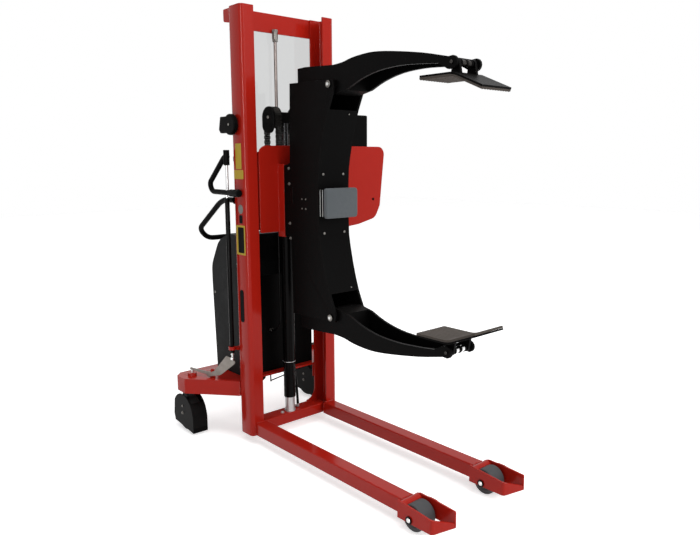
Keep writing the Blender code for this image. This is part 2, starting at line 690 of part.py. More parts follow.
def make_controls():
    """The lift control: a keyhole shaped lever on a bolt, with its round base on the column's side."""
    outer = -MAST_WIDTH / 2 - SEAT
    face = outer - CONTROL_STAND
    inside, outside = face - RUNNING, face - RUNNING - CONTROL_WIDTH
    head = outside - RUNNING
    profile = [(0, outer), (CONTROL_RADIUS * 0.7, outer), (CONTROL_RADIUS * 0.7, face), (CONTROL_BOLT, face),
               (CONTROL_BOLT, head), (CONTROL_BOLT * 1.8, head), (CONTROL_BOLT * 1.8, head - 0.005), (0, head - 0.005)]
    base = turned("control_base", profile, "X", (0, CONTROL_DEPTH, CONTROL_HEIGHT), "zinc", 16)
    rear = CONTROL_DEPTH + CONTROL_REACH
    outline = arc((CONTROL_DEPTH, CONTROL_HEIGHT), CONTROL_RADIUS, 52, 308, 14)
    outline += [(rear - 0.012, CONTROL_HEIGHT - CONTROL_RADIUS * 0.79), (rear, CONTROL_HEIGHT - CONTROL_RADIUS * 0.45),
                (rear - 0.012, CONTROL_HEIGHT + CONTROL_RADIUS * 0.79)]
    lever = prism("control_lever", outline, "X", outside, inside, "black_paint", 0.003)
    bore = rod("control bore", "X", (0, CONTROL_DEPTH, CONTROL_HEIGHT), CONTROL_BOLT + RUNNING, outside - 0.01, inside + 0.01,
               steps=16)
    return base, cut(lever, bore)


def make_power_pack():
    """The rear cover as an open shell, its front panel, and the pump and battery inside."""
    foot = PLATE_LEVEL + SEAT
    top = foot + COVER_HEIGHT
    rear = PLATE_REAR - 0.028
    shell = [(COVER_FRONT, foot), (rear, foot), (rear + 0.018, foot + 0.400), (rear + 0.018, top - 0.150),
             (rear - 0.050, top - 0.030), (COVER_FRONT + 0.080, top), (COVER_FRONT, top)]
    wall = COVER_WALL
    inside = [(COVER_FRONT - 0.02, foot - 0.02), (rear - wall, foot - 0.02), (rear + 0.018 - wall, foot + 0.400),
              (rear + 0.018 - wall, top - 0.150 - wall * 0.3), (rear - 0.050 - wall * 0.4, top - 0.030 - wall),
              (COVER_FRONT + 0.080, top - wall), (COVER_FRONT - 0.02, top - wall)]
    bend = [0, 0, 0.2, 0.09, 0.10, 0.05, 0]
    cover = prism("rear_cover", rounded(shell, bend, 5), "X", -COVER_HALF, COVER_HALF, "dark_plastic")
    half = COVER_HALF - wall
    hollow = prism("cover hollow", rounded(inside, bend, 5), "X", -half, half)
    cut(cover, hollow)
    front = COVER_FRONT - SEAT
    panel = block("front_panel", (-COVER_HALF, front - PANEL_THICKNESS, foot), (COVER_HALF, front, foot + PANEL_HEIGHT),
                  "black_paint")
    motor_foot = PLATE_LEVEL - SKIRT_HEIGHT + 0.006
    height = MOTOR_RADIUS * 4.2
    profile = [(0, motor_foot), (MOTOR_RADIUS * 0.8, motor_foot), (MOTOR_RADIUS, motor_foot + 0.010),
               (MOTOR_RADIUS, motor_foot + height), (MOTOR_RADIUS * 0.55, motor_foot + height + 0.012),
               (MOTOR_RADIUS * 0.55, motor_foot + height + 0.060), (0, motor_foot + height + 0.060)]
    motor = turned("pump_motor", profile, "Z", (MOTOR_SIDE, MOTOR_DEPTH, 0), "black_paint", 24)
    battery_low = (COVER_HALF - wall - SEAT - BATTERY_WIDTH, COVER_FRONT + 0.040, foot)
    battery_high = (COVER_HALF - wall - SEAT, COVER_FRONT + 0.040 + BATTERY_DEPTH, foot + BATTERY_HEIGHT)
    battery = block("battery", battery_low, battery_high, "dark_plastic", 0.003)
    return [cover, panel, motor, battery]


def make_casters():
    made = {}
    for word, side in SIDES:
        made[word] = make_caster(word, side * CASTER_SIDE)
    return made


def make_caster(word, middle):
    axle_depth = CASTER_DEPTH + CASTER_TRAIL
    wheel_centre = (middle, axle_depth, CASTER_RADIUS)
    half = CASTER_WIDTH / 2
    bore = CASTER_AXLE_RADIUS + RUNNING
    rim = CASTER_RADIUS
    profile = [(bore, -half), (rim * 0.28, -half), (rim * 0.30, -half + 0.006), (rim * 0.66, -half + 0.006),
               (rim * 0.70, -half), (rim - 0.006, -half), (rim, -half + 0.008), (rim, half - 0.008), (rim - 0.006, half),
               (rim * 0.70, half), (rim * 0.66, half - 0.006), (rim * 0.30, half - 0.006), (rim * 0.28, half), (bore, half)]
    wheel = turned(word + "_caster_wheel", profile, "X", wheel_centre, "black_rubber", 24)
    inner = half + RUNNING * 3
    outer = inner + FORK_WALL
    head_top = PLATE_UNDERSIDE - SEAT
    bridge = head_top - 0.014 - FORK_WALL
    cheek = [(CASTER_DEPTH - 0.026, head_top - 0.014), (CASTER_DEPTH + 0.022, head_top - 0.014),
             (axle_depth + 0.017, CASTER_RADIUS)]
    cheek += arc((axle_depth, CASTER_RADIUS), 0.017, -30, -150, 4) + [(axle_depth - 0.017, CASTER_RADIUS)]
    fork = prism(word + "_caster_fork", cheek, "X", middle - outer, middle + outer, "black_paint")
    gap = block(word + " fork gap", (middle - inner, CASTER_DEPTH - 0.08, 0), (middle + inner, CASTER_DEPTH + 0.12, bridge))
    head = rod(word + " head", "Z", (middle, CASTER_DEPTH, 0), FORK_HEAD_RADIUS, bridge + 0.001, head_top)
    hole = rod(word + " head hole", "Z", (middle, CASTER_DEPTH, 0), PLUNGER_RADIUS + 0.003, bridge - 0.01, head_top + 0.01)
    axle = rod(word + " axle", "X", wheel_centre, CASTER_AXLE_RADIUS, -outer, outer, steps=16)
    cut(fork, gap)
    fuse(fork, head, axle)
    cut(fork, hole)
    return wheel, fork, make_toe_guard(word, middle, outer + SEAT)


def make_toe_guard(word, middle, inner):
    """A round shroud that keeps feet from under the wheel, open below and behind."""
    axle_depth = CASTER_DEPTH + CASTER_TRAIL
    centre, radius = (axle_depth, CASTER_RADIUS), CASTER_RADIUS + GUARD_GAP
    front, rear = axle_depth - radius, axle_depth + radius - 0.009
    outline = [(front, 0.010), (rear - 0.010, 0.030), (rear, 0.060)] + arc(centre, radius - 0.003, 20, 180, 12)[1:-1]
    outline += [(front, CASTER_RADIUS)]
    outer = inner + GUARD_WALL
    guard = prism(word + "_toe_guard", outline, "X", middle - outer, middle + outer, "black_paint")
    inside = arc(centre, radius - GUARD_WALL - 0.003, 140, 180, 5)
    above = CASTER_RADIUS + radius + 0.05
    opening = [(front + GUARD_WALL, -0.05), (rear + 0.05, -0.05), (rear + 0.05, above), (inside[0][0], above), *inside]
    hollow = prism(word + " guard hollow", opening, "X", middle - inner, middle + inner)
    return cut(guard, hollow)


def make_lift():
    """The lift cylinder with its chain yoke, the ram and crosshead, two sheaves and two chains."""
    centre = (0, CYLINDER_DEPTH, 0)
    foot = COLUMN_BASE + CROSSBAR_HEIGHT + SEAT
    profile = [(0, foot), (BARREL_RADIUS + 0.004, foot), (BARREL_RADIUS + 0.004, foot + 0.016), (BARREL_RADIUS, foot + 0.018),
               (BARREL_RADIUS, BARREL_TOP - 0.030), (BARREL_RADIUS + 0.003, BARREL_TOP - 0.028),
               (BARREL_RADIUS + 0.003, BARREL_TOP), (RAM_RADIUS + SEAT, BARREL_TOP), (RAM_RADIUS + SEAT, BARREL_FLOOR),
               (0, BARREL_FLOOR)]
    barrel = turned("lift_barrel", profile, "Z", centre, "black_paint", 28)
    rear = CYLINDER_DEPTH + SHEAVE_RADIUS + CHAIN_THICKNESS + SEAT
    wide = SHEAVE_SIDE + CHAIN_WIDTH / 2 + 0.003
    yoke_low = BARREL_TOP - YOKE_HEIGHT
    yoke = block("chain yoke", (-wide, CYLINDER_DEPTH + RAM_RADIUS + 0.004, yoke_low), (wide, rear, BARREL_TOP))
    fuse(barrel, yoke, make_lift_pipe())
    ram = rod("ram", "Z", centre, RAM_RADIUS, RAM_FOOT, CROSSHEAD_LEVEL - CROSSHEAD_HALF - SEAT, "chrome", 24)
    inner = SHEAVE_SIDE - SHEAVE_WIDTH / 2 - RUNNING
    crosshead = block("crosshead", (-inner, CYLINDER_DEPTH - 0.020, CROSSHEAD_LEVEL - CROSSHEAD_HALF),
                      (inner, CYLINDER_DEPTH + 0.020, CROSSHEAD_LEVEL + CROSSHEAD_HALF), "black_paint", 0.002)
    shaft_half = SHEAVE_SIDE + SHEAVE_WIDTH / 2 + RUNNING
    shaft = rod("sheave shaft", "X", (0, CYLINDER_DEPTH, CROSSHEAD_LEVEL), SHEAVE_SHAFT, -shaft_half - 0.004, shaft_half + 0.004, steps=16)
    eye = ring("rod eye", "Z", (ROD_OFFSET, ROD_DEPTH, CROSSHEAD_LEVEL), ROD_RADIUS + SEAT, SOCKET_RADIUS,
               -CROSSHEAD_HALF * 0.6, CROSSHEAD_HALF * 0.6, steps=16)
    eye_arm = block("eye arm", (ROD_OFFSET - 0.006, CYLINDER_DEPTH + 0.016, CROSSHEAD_LEVEL - CROSSHEAD_HALF * 0.5),
                    (ROD_OFFSET + 0.006, ROD_DEPTH - ROD_RADIUS - 0.001, CROSSHEAD_LEVEL + CROSSHEAD_HALF * 0.5))
    fuse(crosshead, shaft, eye, eye_arm)
    half = SHEAVE_WIDTH / 2
    flange = SHEAVE_RADIUS + SHEAVE_FLANGE
    groove = CHAIN_WIDTH / 2 + 0.001
    bore = SHEAVE_SHAFT + RUNNING
    profile = [(bore, -half), (flange, -half), (flange, -groove - 0.002), (SHEAVE_RADIUS, -groove), (SHEAVE_RADIUS, groove),
               (flange, groove + 0.002), (flange, half), (bore, half)]
    moving, chains = {}, {}
    for word, side in SIDES:
        moving[word] = turned(word + "_sheave", profile, "X", (side * SHEAVE_SIDE, CYLINDER_DEPTH, CROSSHEAD_LEVEL), "black_paint", 24)
        chains[word] = make_chain(word, side * SHEAVE_SIDE)
    return barrel, ram, crosshead, moving, chains


def make_lift_pipe():
    """The pipe along the lift cylinder, from its head down and back towards the pump."""
    rear = COVER_FRONT - PANEL_THICKNESS - 2 * SEAT
    offset = PIPE_SIDE - 0.006
    corners = [(-BARREL_RADIUS * 0.75, PIPE_DEPTH, PIPE_TOP), (PIPE_SIDE, PIPE_DEPTH, PIPE_TOP),
               (PIPE_SIDE, PIPE_DEPTH, PIPE_LOW + 0.038), (offset, PIPE_DEPTH + 0.033, PIPE_LOW), (offset, rear, PIPE_LOW)]
    return tube("lift pipe", fillet_path(corners, 0.018, 4), PIPE_RADIUS, "black_paint", 8)


def make_chain(word, middle):
    """A leaf chain, from the carriage over the sheave and down to the yoke on the cylinder."""
    inner, outer = SHEAVE_RADIUS + SEAT, SHEAVE_RADIUS + SEAT + CHAIN_THICKNESS - 0.0005
    over = arc((CYLINDER_DEPTH, CROSSHEAD_LEVEL), outer, 180, 0, 12)
    under = arc((CYLINDER_DEPTH, CROSSHEAD_LEVEL), inner, 0, 180, 12)
    front, rear = CHAIN_ANCHOR, BARREL_TOP + SEAT
    outline = [(over[0][0], front), *over, (over[-1][0], rear), (under[0][0], rear), *under, (under[-1][0], front)]
    half = CHAIN_WIDTH / 2
    return prism(word + "_chain", outline, "X", middle - half, middle + half, "steel")


def make_carriage():
    """The carriage: a front plate between the columns, side plates with roller axles, and cheeks for the rotator."""
    rear, front = -SEAT, -SEAT - CARRIAGE_PLATE
    face = [(-CARRIAGE_HALF, CARRIAGE_LOW), (CARRIAGE_HALF, CARRIAGE_LOW), (CARRIAGE_HALF, CARRIAGE_TOP),
            (-CARRIAGE_HALF, CARRIAGE_TOP)]
    carriage = prism("carriage", rounded(face, [0.006, 0.006, CARRIAGE_CORNER, CARRIAGE_CORNER], 5), "Y", front, rear)
    pieces = []
    for word, side in SIDES:
        low, high = sorted((side * (CARRIAGE_HALF - 0.020), side * (CARRIAGE_HALF - 0.012)))
        pieces.append(block(word + " side plate", (low, front + 0.002, CARRIAGE_LOW + 0.008),
                            (high, COLUMN_DEPTH - 0.010, CARRIAGE_TOP - CARRIAGE_CORNER * 0.7)))
        for level in ROLLER_LEVELS:
            low, high = sorted((side * (CARRIAGE_HALF - 0.016), side * (ROLLER_OUTER + 0.002)))
            pieces.append(rod(word + " stub axle", "X", (0, COLUMN_DEPTH / 2, level), CARRIAGE_AXLE_RADIUS, low, high, steps=16))
        low, high = sorted((side * (CLAMP_HALF - CHEEK_WALL), side * CLAMP_HALF))
        pieces.append(block(word + " cheek", (low, -CHEEK_REACH, CLAMP_AXIS - CHEEK_HALF_HEIGHT),
                            (high, rear - 0.002, CLAMP_AXIS + CHEEK_HALF_HEIGHT)))
        middle = side * SHEAVE_SIDE
        anchor_rear = CYLINDER_DEPTH - SHEAVE_RADIUS + 0.004
        pieces.append(block(word + " chain anchor", (middle - 0.009, rear - 0.002, CHAIN_ANCHOR - SEAT - 0.022),
                            (middle + 0.009, anchor_rear, CHAIN_ANCHOR - SEAT)))
    fuse(carriage, *pieces)
    housing = make_slew_housing()
    wing_inner = CLAMP_HALF + SEAT
    edge = WING_REACH - WING_TAPER
    wing_face = [(wing_inner, CARRIAGE_TOP), (wing_inner, CARRIAGE_LOW - 0.018), (WING_REACH - 0.160, CARRIAGE_LOW + 0.006),
                 (edge - 0.030, CARRIAGE_LOW + 0.030), (edge, CARRIAGE_LOW + 0.085), (WING_REACH, CARRIAGE_TOP - WING_CORNER)]
    wing_face = rounded(wing_face, [0, 0, 0.030, 0.045, 0.030, 0], 4)
    wing_face += arc((WING_REACH - WING_CORNER, CARRIAGE_TOP - WING_CORNER), WING_CORNER, 15, 90, 5)
    wing_front = -CHEEK_REACH
    wing = prism("wing_plate", wing_face, "Y", wing_front, wing_front + WING_WALL)
    drive = block("drive_box", (BOX_INNER, wing_front + WING_WALL + SEAT, BOX_LOW),
                  (BOX_OUTER, wing_front + WING_WALL + SEAT + BOX_DEPTH, BOX_TOP), "black_paint", 0.004)
    return [carriage, housing, wing, drive]


def make_slew_housing():
    low, high = -TURNTABLE_REAR + SEAT, -CHEEK_REACH - SEAT
    half, tall = CLAMP_HALF - 0.001, CHEEK_HALF_HEIGHT - 0.002
    face = [(-half, CLAMP_AXIS - tall), (half, CLAMP_AXIS - tall), (half, CLAMP_AXIS + tall), (-half, CLAMP_AXIS + tall)]
    housing = prism("slew_housing", rounded(face, 0.008, 2), "Y", low, high, "black_paint")
    bore = rod("slew bore", "Y", (0, 0, CLAMP_AXIS), SHAFT_RADIUS + RUNNING, low - 0.01, high + 0.01, steps=32)
    return cut(housing, bore)


def make_carriage_rollers():
    made = {}
    low, high = ROLLER_OUTER - CARRIAGE_ROLLER_WIDTH, ROLLER_OUTER
    bore, rim = CARRIAGE_AXLE_RADIUS + RUNNING, CARRIAGE_ROLLER_RADIUS
    for word, side in SIDES:
        for place, level in zip(("lower", "upper"), ROLLER_LEVELS):
            a, b = sorted((side * low, side * high))
            profile = [(bore, a), (rim - 0.002, a), (rim, a + 0.002), (rim, b - 0.002), (rim - 0.002, b), (bore, b)]
            name = f"{word}_{place}_roller"
            made[name] = turned(name, profile, "X", (0, COLUMN_DEPTH / 2, level), "steel", 20)
    return made


def mirrored(half):
    """An outline about the rotation axis from its upper half, given as (y, height) from the rear round to the front."""
    upper = [(y, CLAMP_AXIS + h) for y, h in half]
    lower = [(y, CLAMP_AXIS - h) for y, h in reversed(half)]
    return upper + lower


def make_clamp_body():
    """The C shaped box of the clamp: two cheeks, a rear wall and a curved front plate, with the arm pins across it."""
    top = ARM_PIN_HEIGHT + 0.022
    bow = [(ARM_PIN_DEPTH - setback, ARM_PIN_HEIGHT * share) for setback, share in CLAMP_FRONT]
    front = [(ARM_PIN_DEPTH + 0.026, top - 0.008), (ARM_PIN_DEPTH + 0.030, ARM_PIN_HEIGHT - 0.012), *bow]
    waist = bow[-1][1]
    rear = [(TURNTABLE_REAR, waist), (TURNTABLE_REAR, CHEEK_HALF_HEIGHT - 0.002),
            (CLAMP_REAR - 0.008, CHEEK_HALF_HEIGHT + 0.006), (CLAMP_REAR, top)]
    body = prism("clamp_body", mirrored([(-y, h) for y, h in rear + front]), "X", -CLAMP_HALF, CLAMP_HALF, "black_paint")
    wall, past = CLAMP_WALL, top + 0.05
    mouth = ARM_PIN_DEPTH + 0.110
    inside = [(CLAMP_REAR + wall, waist), (CLAMP_REAR + wall, past), (mouth, past), (mouth, bow[1][1])]
    inside += [(y - wall, h) for y, h in bow[1:]]
    half = CLAMP_HALF - wall
    hollow = prism("clamp hollow", mirrored([(-y, h) for y, h in inside]), "X", -half, half)
    cut(body, hollow)
    pins = [rod(word + " arm pin", "X", (0, -ARM_PIN_DEPTH, CLAMP_AXIS + sign * ARM_PIN_HEIGHT), ARM_PIN_RADIUS,
                -CLAMP_HALF - 0.004, CLAMP_HALF + 0.004, steps=16) for word, sign in ENDS]
    shaft = rod("slew shaft", "Y", (0, 0, CLAMP_AXIS), SHAFT_RADIUS, -TURNTABLE_REAR - 0.004, -CHEEK_REACH + 0.012, steps=32)
    seat_low = (-BUFFER_HALF_WIDTH + 0.008, -BUFFER_FACE + BUFFER_RUBBER + SEAT, CLAMP_AXIS - BUFFER_HALF_HEIGHT + 0.004)
    buffer_seat = block("buffer seat", seat_low, (BUFFER_HALF_WIDTH - 0.008, -bow[-1][0] + 0.004, CLAMP_AXIS + BUFFER_HALF_HEIGHT - 0.004))
    fuse(body, *pins, shaft, buffer_seat)
    half_wide, half_high = BUFFER_HALF_WIDTH, BUFFER_HALF_HEIGHT
    face = [(-half_wide, CLAMP_AXIS - half_high), (half_wide, CLAMP_AXIS - half_high), (half_wide, CLAMP_AXIS + half_high),
            (-half_wide, CLAMP_AXIS + half_high)]
    pad = prism("buffer_pad", rounded(face, 0.012, 4), "Y", -BUFFER_FACE, -BUFFER_FACE + BUFFER_RUBBER, "grey_rubber", 0.004)
    return body, pad


def make_actuator():
    """The clamping cylinder inside the body, with a rod at each end that bears on an arm's heel."""
    centre = (0, -ACTUATOR_DEPTH, CLAMP_AXIS)
    bore = ROD_END_RADIUS + SEAT
    profile = [(0, -ACTUATOR_MIDDLE), (bore, -ACTUATOR_MIDDLE), (bore, -ACTUATOR_HALF), (ACTUATOR_RADIUS, -ACTUATOR_HALF),
               (ACTUATOR_RADIUS, ACTUATOR_HALF), (bore, ACTUATOR_HALF), (bore, ACTUATOR_MIDDLE), (0, ACTUATOR_MIDDLE)]
    barrel = turned("clamp_cylinder", profile, "Z", centre, "steel", 24)
    saddle = block("saddle", (-0.018, -ACTUATOR_DEPTH + ACTUATOR_RADIUS - 0.006, CLAMP_AXIS - 0.030),
                   (0.018, -CLAMP_REAR - CLAMP_WALL - SEAT, CLAMP_AXIS + 0.030))
    fuse(barrel, saddle)
    rods = {}
    for word, sign in ENDS:
        low, high = sorted((sign * ROD_FOOT, sign * (HEEL_UNDERSIDE - ROD_CLEAR)))
        rods[word] = rod(word + "_cylinder_rod", "Z", centre, ROD_END_RADIUS, low, high, "chrome", 20)
    return barrel, rods


def flowing(points, steps=3):
    """A smooth line through the points, with some steps between each two of them."""
    count, made = len(points), []
    for i in range(count - 1):
        p, q, r, s = (Vector(points[min(max(i + k, 0), count - 1)]) for k in (-1, 0, 1, 2))
        for k in range(steps):
            t = k / steps
            made.append(tuple(q + (r - p) * t / 2 + (p * 2 - q * 5 + r * 4 - s) * t * t / 2
                              + (q * 3 - p - r * 3 + s) * t * t * t / 2))
    return made + [tuple(points[-1])]


def arm_edges():
    """The arm's outer and inner edges from the heel to the tip, as (y, height) from the rotation axis."""
    pin, tip = ARM_PIN_DEPTH, PAD_PIN_DEPTH

    def between(edge):
        rise = PAD_PIN_HEIGHT - ARM_PIN_HEIGHT
        return [(pin + (tip - pin) * share, ARM_PIN_HEIGHT + rise * share + over) for share, over in edge]

    heel = pin - HEEL_LENGTH
    shoulder = (pin + 0.008, ARM_PIN_HEIGHT + HEEL_HEIGHT - 0.007)
    outer = [(heel, ARM_PIN_HEIGHT + HEEL_HEIGHT), (heel + 0.048, ARM_PIN_HEIGHT + HEEL_HEIGHT + 0.002)]
    outer += flowing([shoulder, *between(ARM_OUTER_EDGE)])
    inner = [(tip - 0.017, PAD_PIN_HEIGHT - 0.020), *flowing(between(ARM_INNER_EDGE)),
             (pin + 0.018, ARM_PIN_HEIGHT - 0.036), (pin - 0.018, ARM_PIN_HEIGHT - 0.034),
             (pin - 0.060, HEEL_UNDERSIDE), (heel, HEEL_UNDERSIDE)]
    return outer, inner


def make_arm(word, sign):
    """A curved channel arm: two side plates and a web along the outer edge, solid round its pin and heel."""
    outer, inner = arm_edges()
    nose = arc((PAD_PIN_DEPTH, PAD_PIN_HEIGHT), 0.020, 80, -80, 6)
    outline = [(-y, CLAMP_AXIS + sign * h) for y, h in outer + nose + inner]
    arm = prism(word + "_arm", outline, "X", -ARM_HALF, ARM_HALF, "black_paint")
    wall = ARM_WALL
    web = [(y, h - wall) for y, h in outer if y > ARM_PIN_DEPTH + 0.07] + [(PAD_PIN_DEPTH + 0.08, PAD_PIN_HEIGHT + 0.006)]
    mouth = [(PAD_PIN_DEPTH + 0.08, PAD_PIN_HEIGHT - 0.12), (ARM_PIN_DEPTH + 0.07, ARM_PIN_HEIGHT - 0.10)]
    channel = [(-y, CLAMP_AXIS + sign * h) for y, h in web + mouth]
    half = ARM_HALF - wall
    hollow = prism(word + " arm channel", channel, "X", -half, half)
    tip_slot = block(word + " tip slot", (-half, -PAD_PIN_DEPTH - 0.05, CLAMP_AXIS + sign * PAD_PIN_HEIGHT - 0.08),
                     (half, -PAD_PIN_DEPTH + 0.026, CLAMP_AXIS + sign * PAD_PIN_HEIGHT + 0.08))
    height = CLAMP_AXIS + sign * ARM_PIN_HEIGHT
    bore = rod(word + " arm bore", "X", (0, -ARM_PIN_DEPTH, height), ARM_PIN_RADIUS + RUNNING, -0.1, 0.1, steps=16)
    pin = rod(word + " pad pin", "X", (0, -PAD_PIN_DEPTH, CLAMP_AXIS + sign * PAD_PIN_HEIGHT), PAD_PIN_RADIUS,
              -ARM_HALF - 0.003, ARM_HALF + 0.003, steps=14)
    cut(arm, hollow, tip_slot, bore)
    return fuse(arm, pin)


def pad_line(offset):
    """The V of a pad as (y, height) points, moved away from the reel by an offset."""
    fold_depth, fold_height = PAD_PIN_DEPTH + PAD_FOLD_AHEAD, PAD_PIN_HEIGHT - PAD_FOLD_DROP
    rear_depth, tip_depth = PAD_PIN_DEPTH - PAD_HEEL_REACH, PAD_PIN_DEPTH + PAD_TIP_REACH
    tip_height = PAD_PIN_HEIGHT - PAD_TIP_DROP
    slope = math.atan2(fold_height - tip_height, tip_depth - fold_depth)
    shift = offset * math.tan(slope / 2)
    return [(rear_depth, fold_height + offset), (fold_depth + shift, fold_height + offset),
            (tip_depth + offset * math.sin(slope), tip_height + offset * math.cos(slope))]


def make_pad(word, sign):
    """The steel V of a pad with its pin lugs, and the rubber facing in front of it."""
    def plate(name, low, high, material):
        line = pad_line(low) + pad_line(high)[::-1]
        return prism(name, [(-y, CLAMP_AXIS + sign * h) for y, h in line], "X", -PAD_HALF, PAD_HALF, material)

    rubber = plate(word + "_pad_rubber", 0, PAD_RUBBER, "black_rubber")
    steel = plate(word + "_pad", PAD_RUBBER + SEAT, PAD_RUBBER + SEAT + PAD_PLATE, "black_paint")
    lugs = []
    base = PAD_PIN_HEIGHT - PAD_FOLD_DROP + PAD_RUBBER + 0.002
    lug = [(PAD_PIN_DEPTH - 0.020, base), *arc((PAD_PIN_DEPTH, PAD_PIN_HEIGHT), 0.014, 180, 0, 8), (PAD_PIN_DEPTH + 0.020, base)]
    outline = [(-y, CLAMP_AXIS + sign * h) for y, h in lug]
    for side in (-1, 1):
        low, high = sorted((side * LUG_SIDE, side * (LUG_SIDE + LUG_WIDTH)))
        lugs.append(prism(word + " lug", outline, "X", low, high))
    bore = rod(word + " lug bore", "X", (0, -PAD_PIN_DEPTH, CLAMP_AXIS + sign * PAD_PIN_HEIGHT), PAD_PIN_RADIUS + RUNNING, -0.1, 0.1,
               steps=14)
    fuse(steel, *lugs)
    cut(steel, bore)
    return steel, rubber


def build():
    clear_scene()
    left, right = PLATE_REACH, WING_REACH
    front, rear = LEG_LENGTH + NOSE_LENGTH, BAR_REAR + BAR_RADIUS
    root = bpy.data.objects.new("stacker", None)
    bpy.context.scene.collection.objects.link(root)
    root.location = ((left - right) / 2, (front - rear) / 2, 0)
    chassis = carrier("chassis", (0, 0, 0), root)
    hang(make_columns() + make_mast_pieces() + make_legs(), chassis)
    hang([make_base_plate(), make_push_bar(), *make_power_pack()], chassis)
    for word, roller in make_load_rollers().items():
        side = dict(SIDES)[word]
        hang([roller], carrier(word + " load roller axis", (side * LEG_MIDDLE, AXLE_DEPTH, ROLLER_RADIUS), chassis))
    for word, (wheel, fork, guard) in make_casters().items():
        side = dict(SIDES)[word]
        swivel = carrier(word + " swivel axis", (side * CASTER_SIDE, CASTER_DEPTH, 0), chassis)
        hang([fork, guard], swivel)
        centre = (side * CASTER_SIDE, CASTER_DEPTH + CASTER_TRAIL, CASTER_RADIUS)
        hang([wheel], carrier(word + " caster axle", centre, swivel))
    lever, plunger, brake_tube, eye, handle = make_brake_gear()
    start, along, reach = lever_frame()
    hang([eye], chassis)
    hang([handle], carrier("handle pivot", (HANDLE_SIDE, HANDLE_PIVOT_DEPTH, HANDLE_PIVOT_HEIGHT), chassis))
    hang([brake_tube], carrier("brake tube axis", (HANDLE_SIDE, BRAKE_TUBE_DEPTH, BRAKE_TUBE_FOOT), chassis))
    pivot = start + along * LEVER_PIVOT
    hang([lever], carrier("lever pivot", (pivot.x, pivot.y, lever_pivot_height()), chassis))
    hang([plunger], carrier("plunger axis", (-CASTER_SIDE, CASTER_DEPTH, PLATE_LEVEL), chassis))
    control_base, control_lever = make_controls()
    hang([control_base], chassis)
    hang([control_lever], carrier("control axis", (-MAST_WIDTH / 2, CONTROL_DEPTH, CONTROL_HEIGHT), chassis))
    barrel, ram, crosshead, sheaves, chains = make_lift()
    hang([barrel], chassis)
    head = carrier("crosshead slide", (0, CYLINDER_DEPTH, CROSSHEAD_LEVEL), chassis)
    hang([ram, crosshead, *chains.values()], head)
    for word, sheave in sheaves.items():
        side = dict(SIDES)[word]
        hang([sheave], carrier(word + " sheave axis", (side * SHEAVE_SIDE, CYLINDER_DEPTH, CROSSHEAD_LEVEL), head))
    slide = carrier("carriage slide", (0, 0, CLAMP_AXIS), chassis)
    hang(make_carriage(), slide)
    for name, roller in make_carriage_rollers().items():
        level = ROLLER_LEVELS[1] if "upper" in name else ROLLER_LEVELS[0]
        side = 1 if name.startswith("far") else -1
        middle = side * (ROLLER_OUTER - CARRIAGE_ROLLER_WIDTH / 2)
        hang([roller], carrier(name + " axis", (middle, COLUMN_DEPTH / 2, level), slide))
    turn = carrier("clamp turn", (0, -TURNTABLE_REAR, CLAMP_AXIS), slide)
    body, buffer_pad = make_clamp_body()
    cylinder, rods = make_actuator()
    hang([body, buffer_pad, cylinder], turn)
    for word, sign in ENDS:
        hang([rods[word]], carrier(word + " rod axis", (0, -ACTUATOR_DEPTH, CLAMP_AXIS + sign * HEEL_UNDERSIDE), turn))
        swing = carrier(word + " arm pin", (0, -ARM_PIN_DEPTH, CLAMP_AXIS + sign * ARM_PIN_HEIGHT), turn)
        hang([make_arm(word, sign)], swing)
        hang(list(make_pad(word, sign)), carrier(word + " pad pin", (0, -PAD_PIN_DEPTH, CLAMP_AXIS + sign * PAD_PIN_HEIGHT), swing))


if __name__ == "__main__":
    build()
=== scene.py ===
"""Looks of a reel handling stacker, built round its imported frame: paint, wheels, lift gear, clamp and studio.

Places are given from the middle of the mast's front face on the floor, in metres: X across the machine, Y towards the
operator and Z up. "Near" is the -X side and "far" is the +X side.
"""

import json
import math

import bmesh
import bpy
import numpy as np
from bpy.props import FloatProperty, FloatVectorProperty, PointerProperty
from mathutils import Matrix, Vector
from mathutils.bvhtree import BVHTree


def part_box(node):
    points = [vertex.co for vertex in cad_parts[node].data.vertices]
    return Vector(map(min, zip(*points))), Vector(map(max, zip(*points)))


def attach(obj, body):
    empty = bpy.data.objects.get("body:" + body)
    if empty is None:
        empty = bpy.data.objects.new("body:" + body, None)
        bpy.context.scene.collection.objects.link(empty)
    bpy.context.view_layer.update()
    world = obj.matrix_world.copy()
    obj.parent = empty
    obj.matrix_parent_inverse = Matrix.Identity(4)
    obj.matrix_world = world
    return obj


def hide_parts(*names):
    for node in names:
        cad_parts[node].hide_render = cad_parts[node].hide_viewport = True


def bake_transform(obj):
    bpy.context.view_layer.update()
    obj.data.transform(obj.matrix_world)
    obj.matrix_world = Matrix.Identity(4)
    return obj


bl_info = {
    "name": "Reel stacker looks",
    "version": (1, 0, 0),
    "blender": (4, 5, 0),
    "location": "View3D > Sidebar > Stacker",
    "description": "Dresses the packed frame of a reel handling stacker and sets up its studio",
    "category": "Object",
}

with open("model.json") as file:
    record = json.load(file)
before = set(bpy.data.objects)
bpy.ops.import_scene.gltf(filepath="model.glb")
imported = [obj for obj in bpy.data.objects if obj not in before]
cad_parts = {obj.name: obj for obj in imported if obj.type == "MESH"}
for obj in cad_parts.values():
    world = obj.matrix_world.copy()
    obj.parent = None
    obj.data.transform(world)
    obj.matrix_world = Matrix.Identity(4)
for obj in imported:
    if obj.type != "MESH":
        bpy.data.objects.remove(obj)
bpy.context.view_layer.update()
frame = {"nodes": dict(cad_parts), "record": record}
BODY_OF = {node: body for body, nodes in frame["record"]["behaviour"]["bodies"].items() for node in nodes}
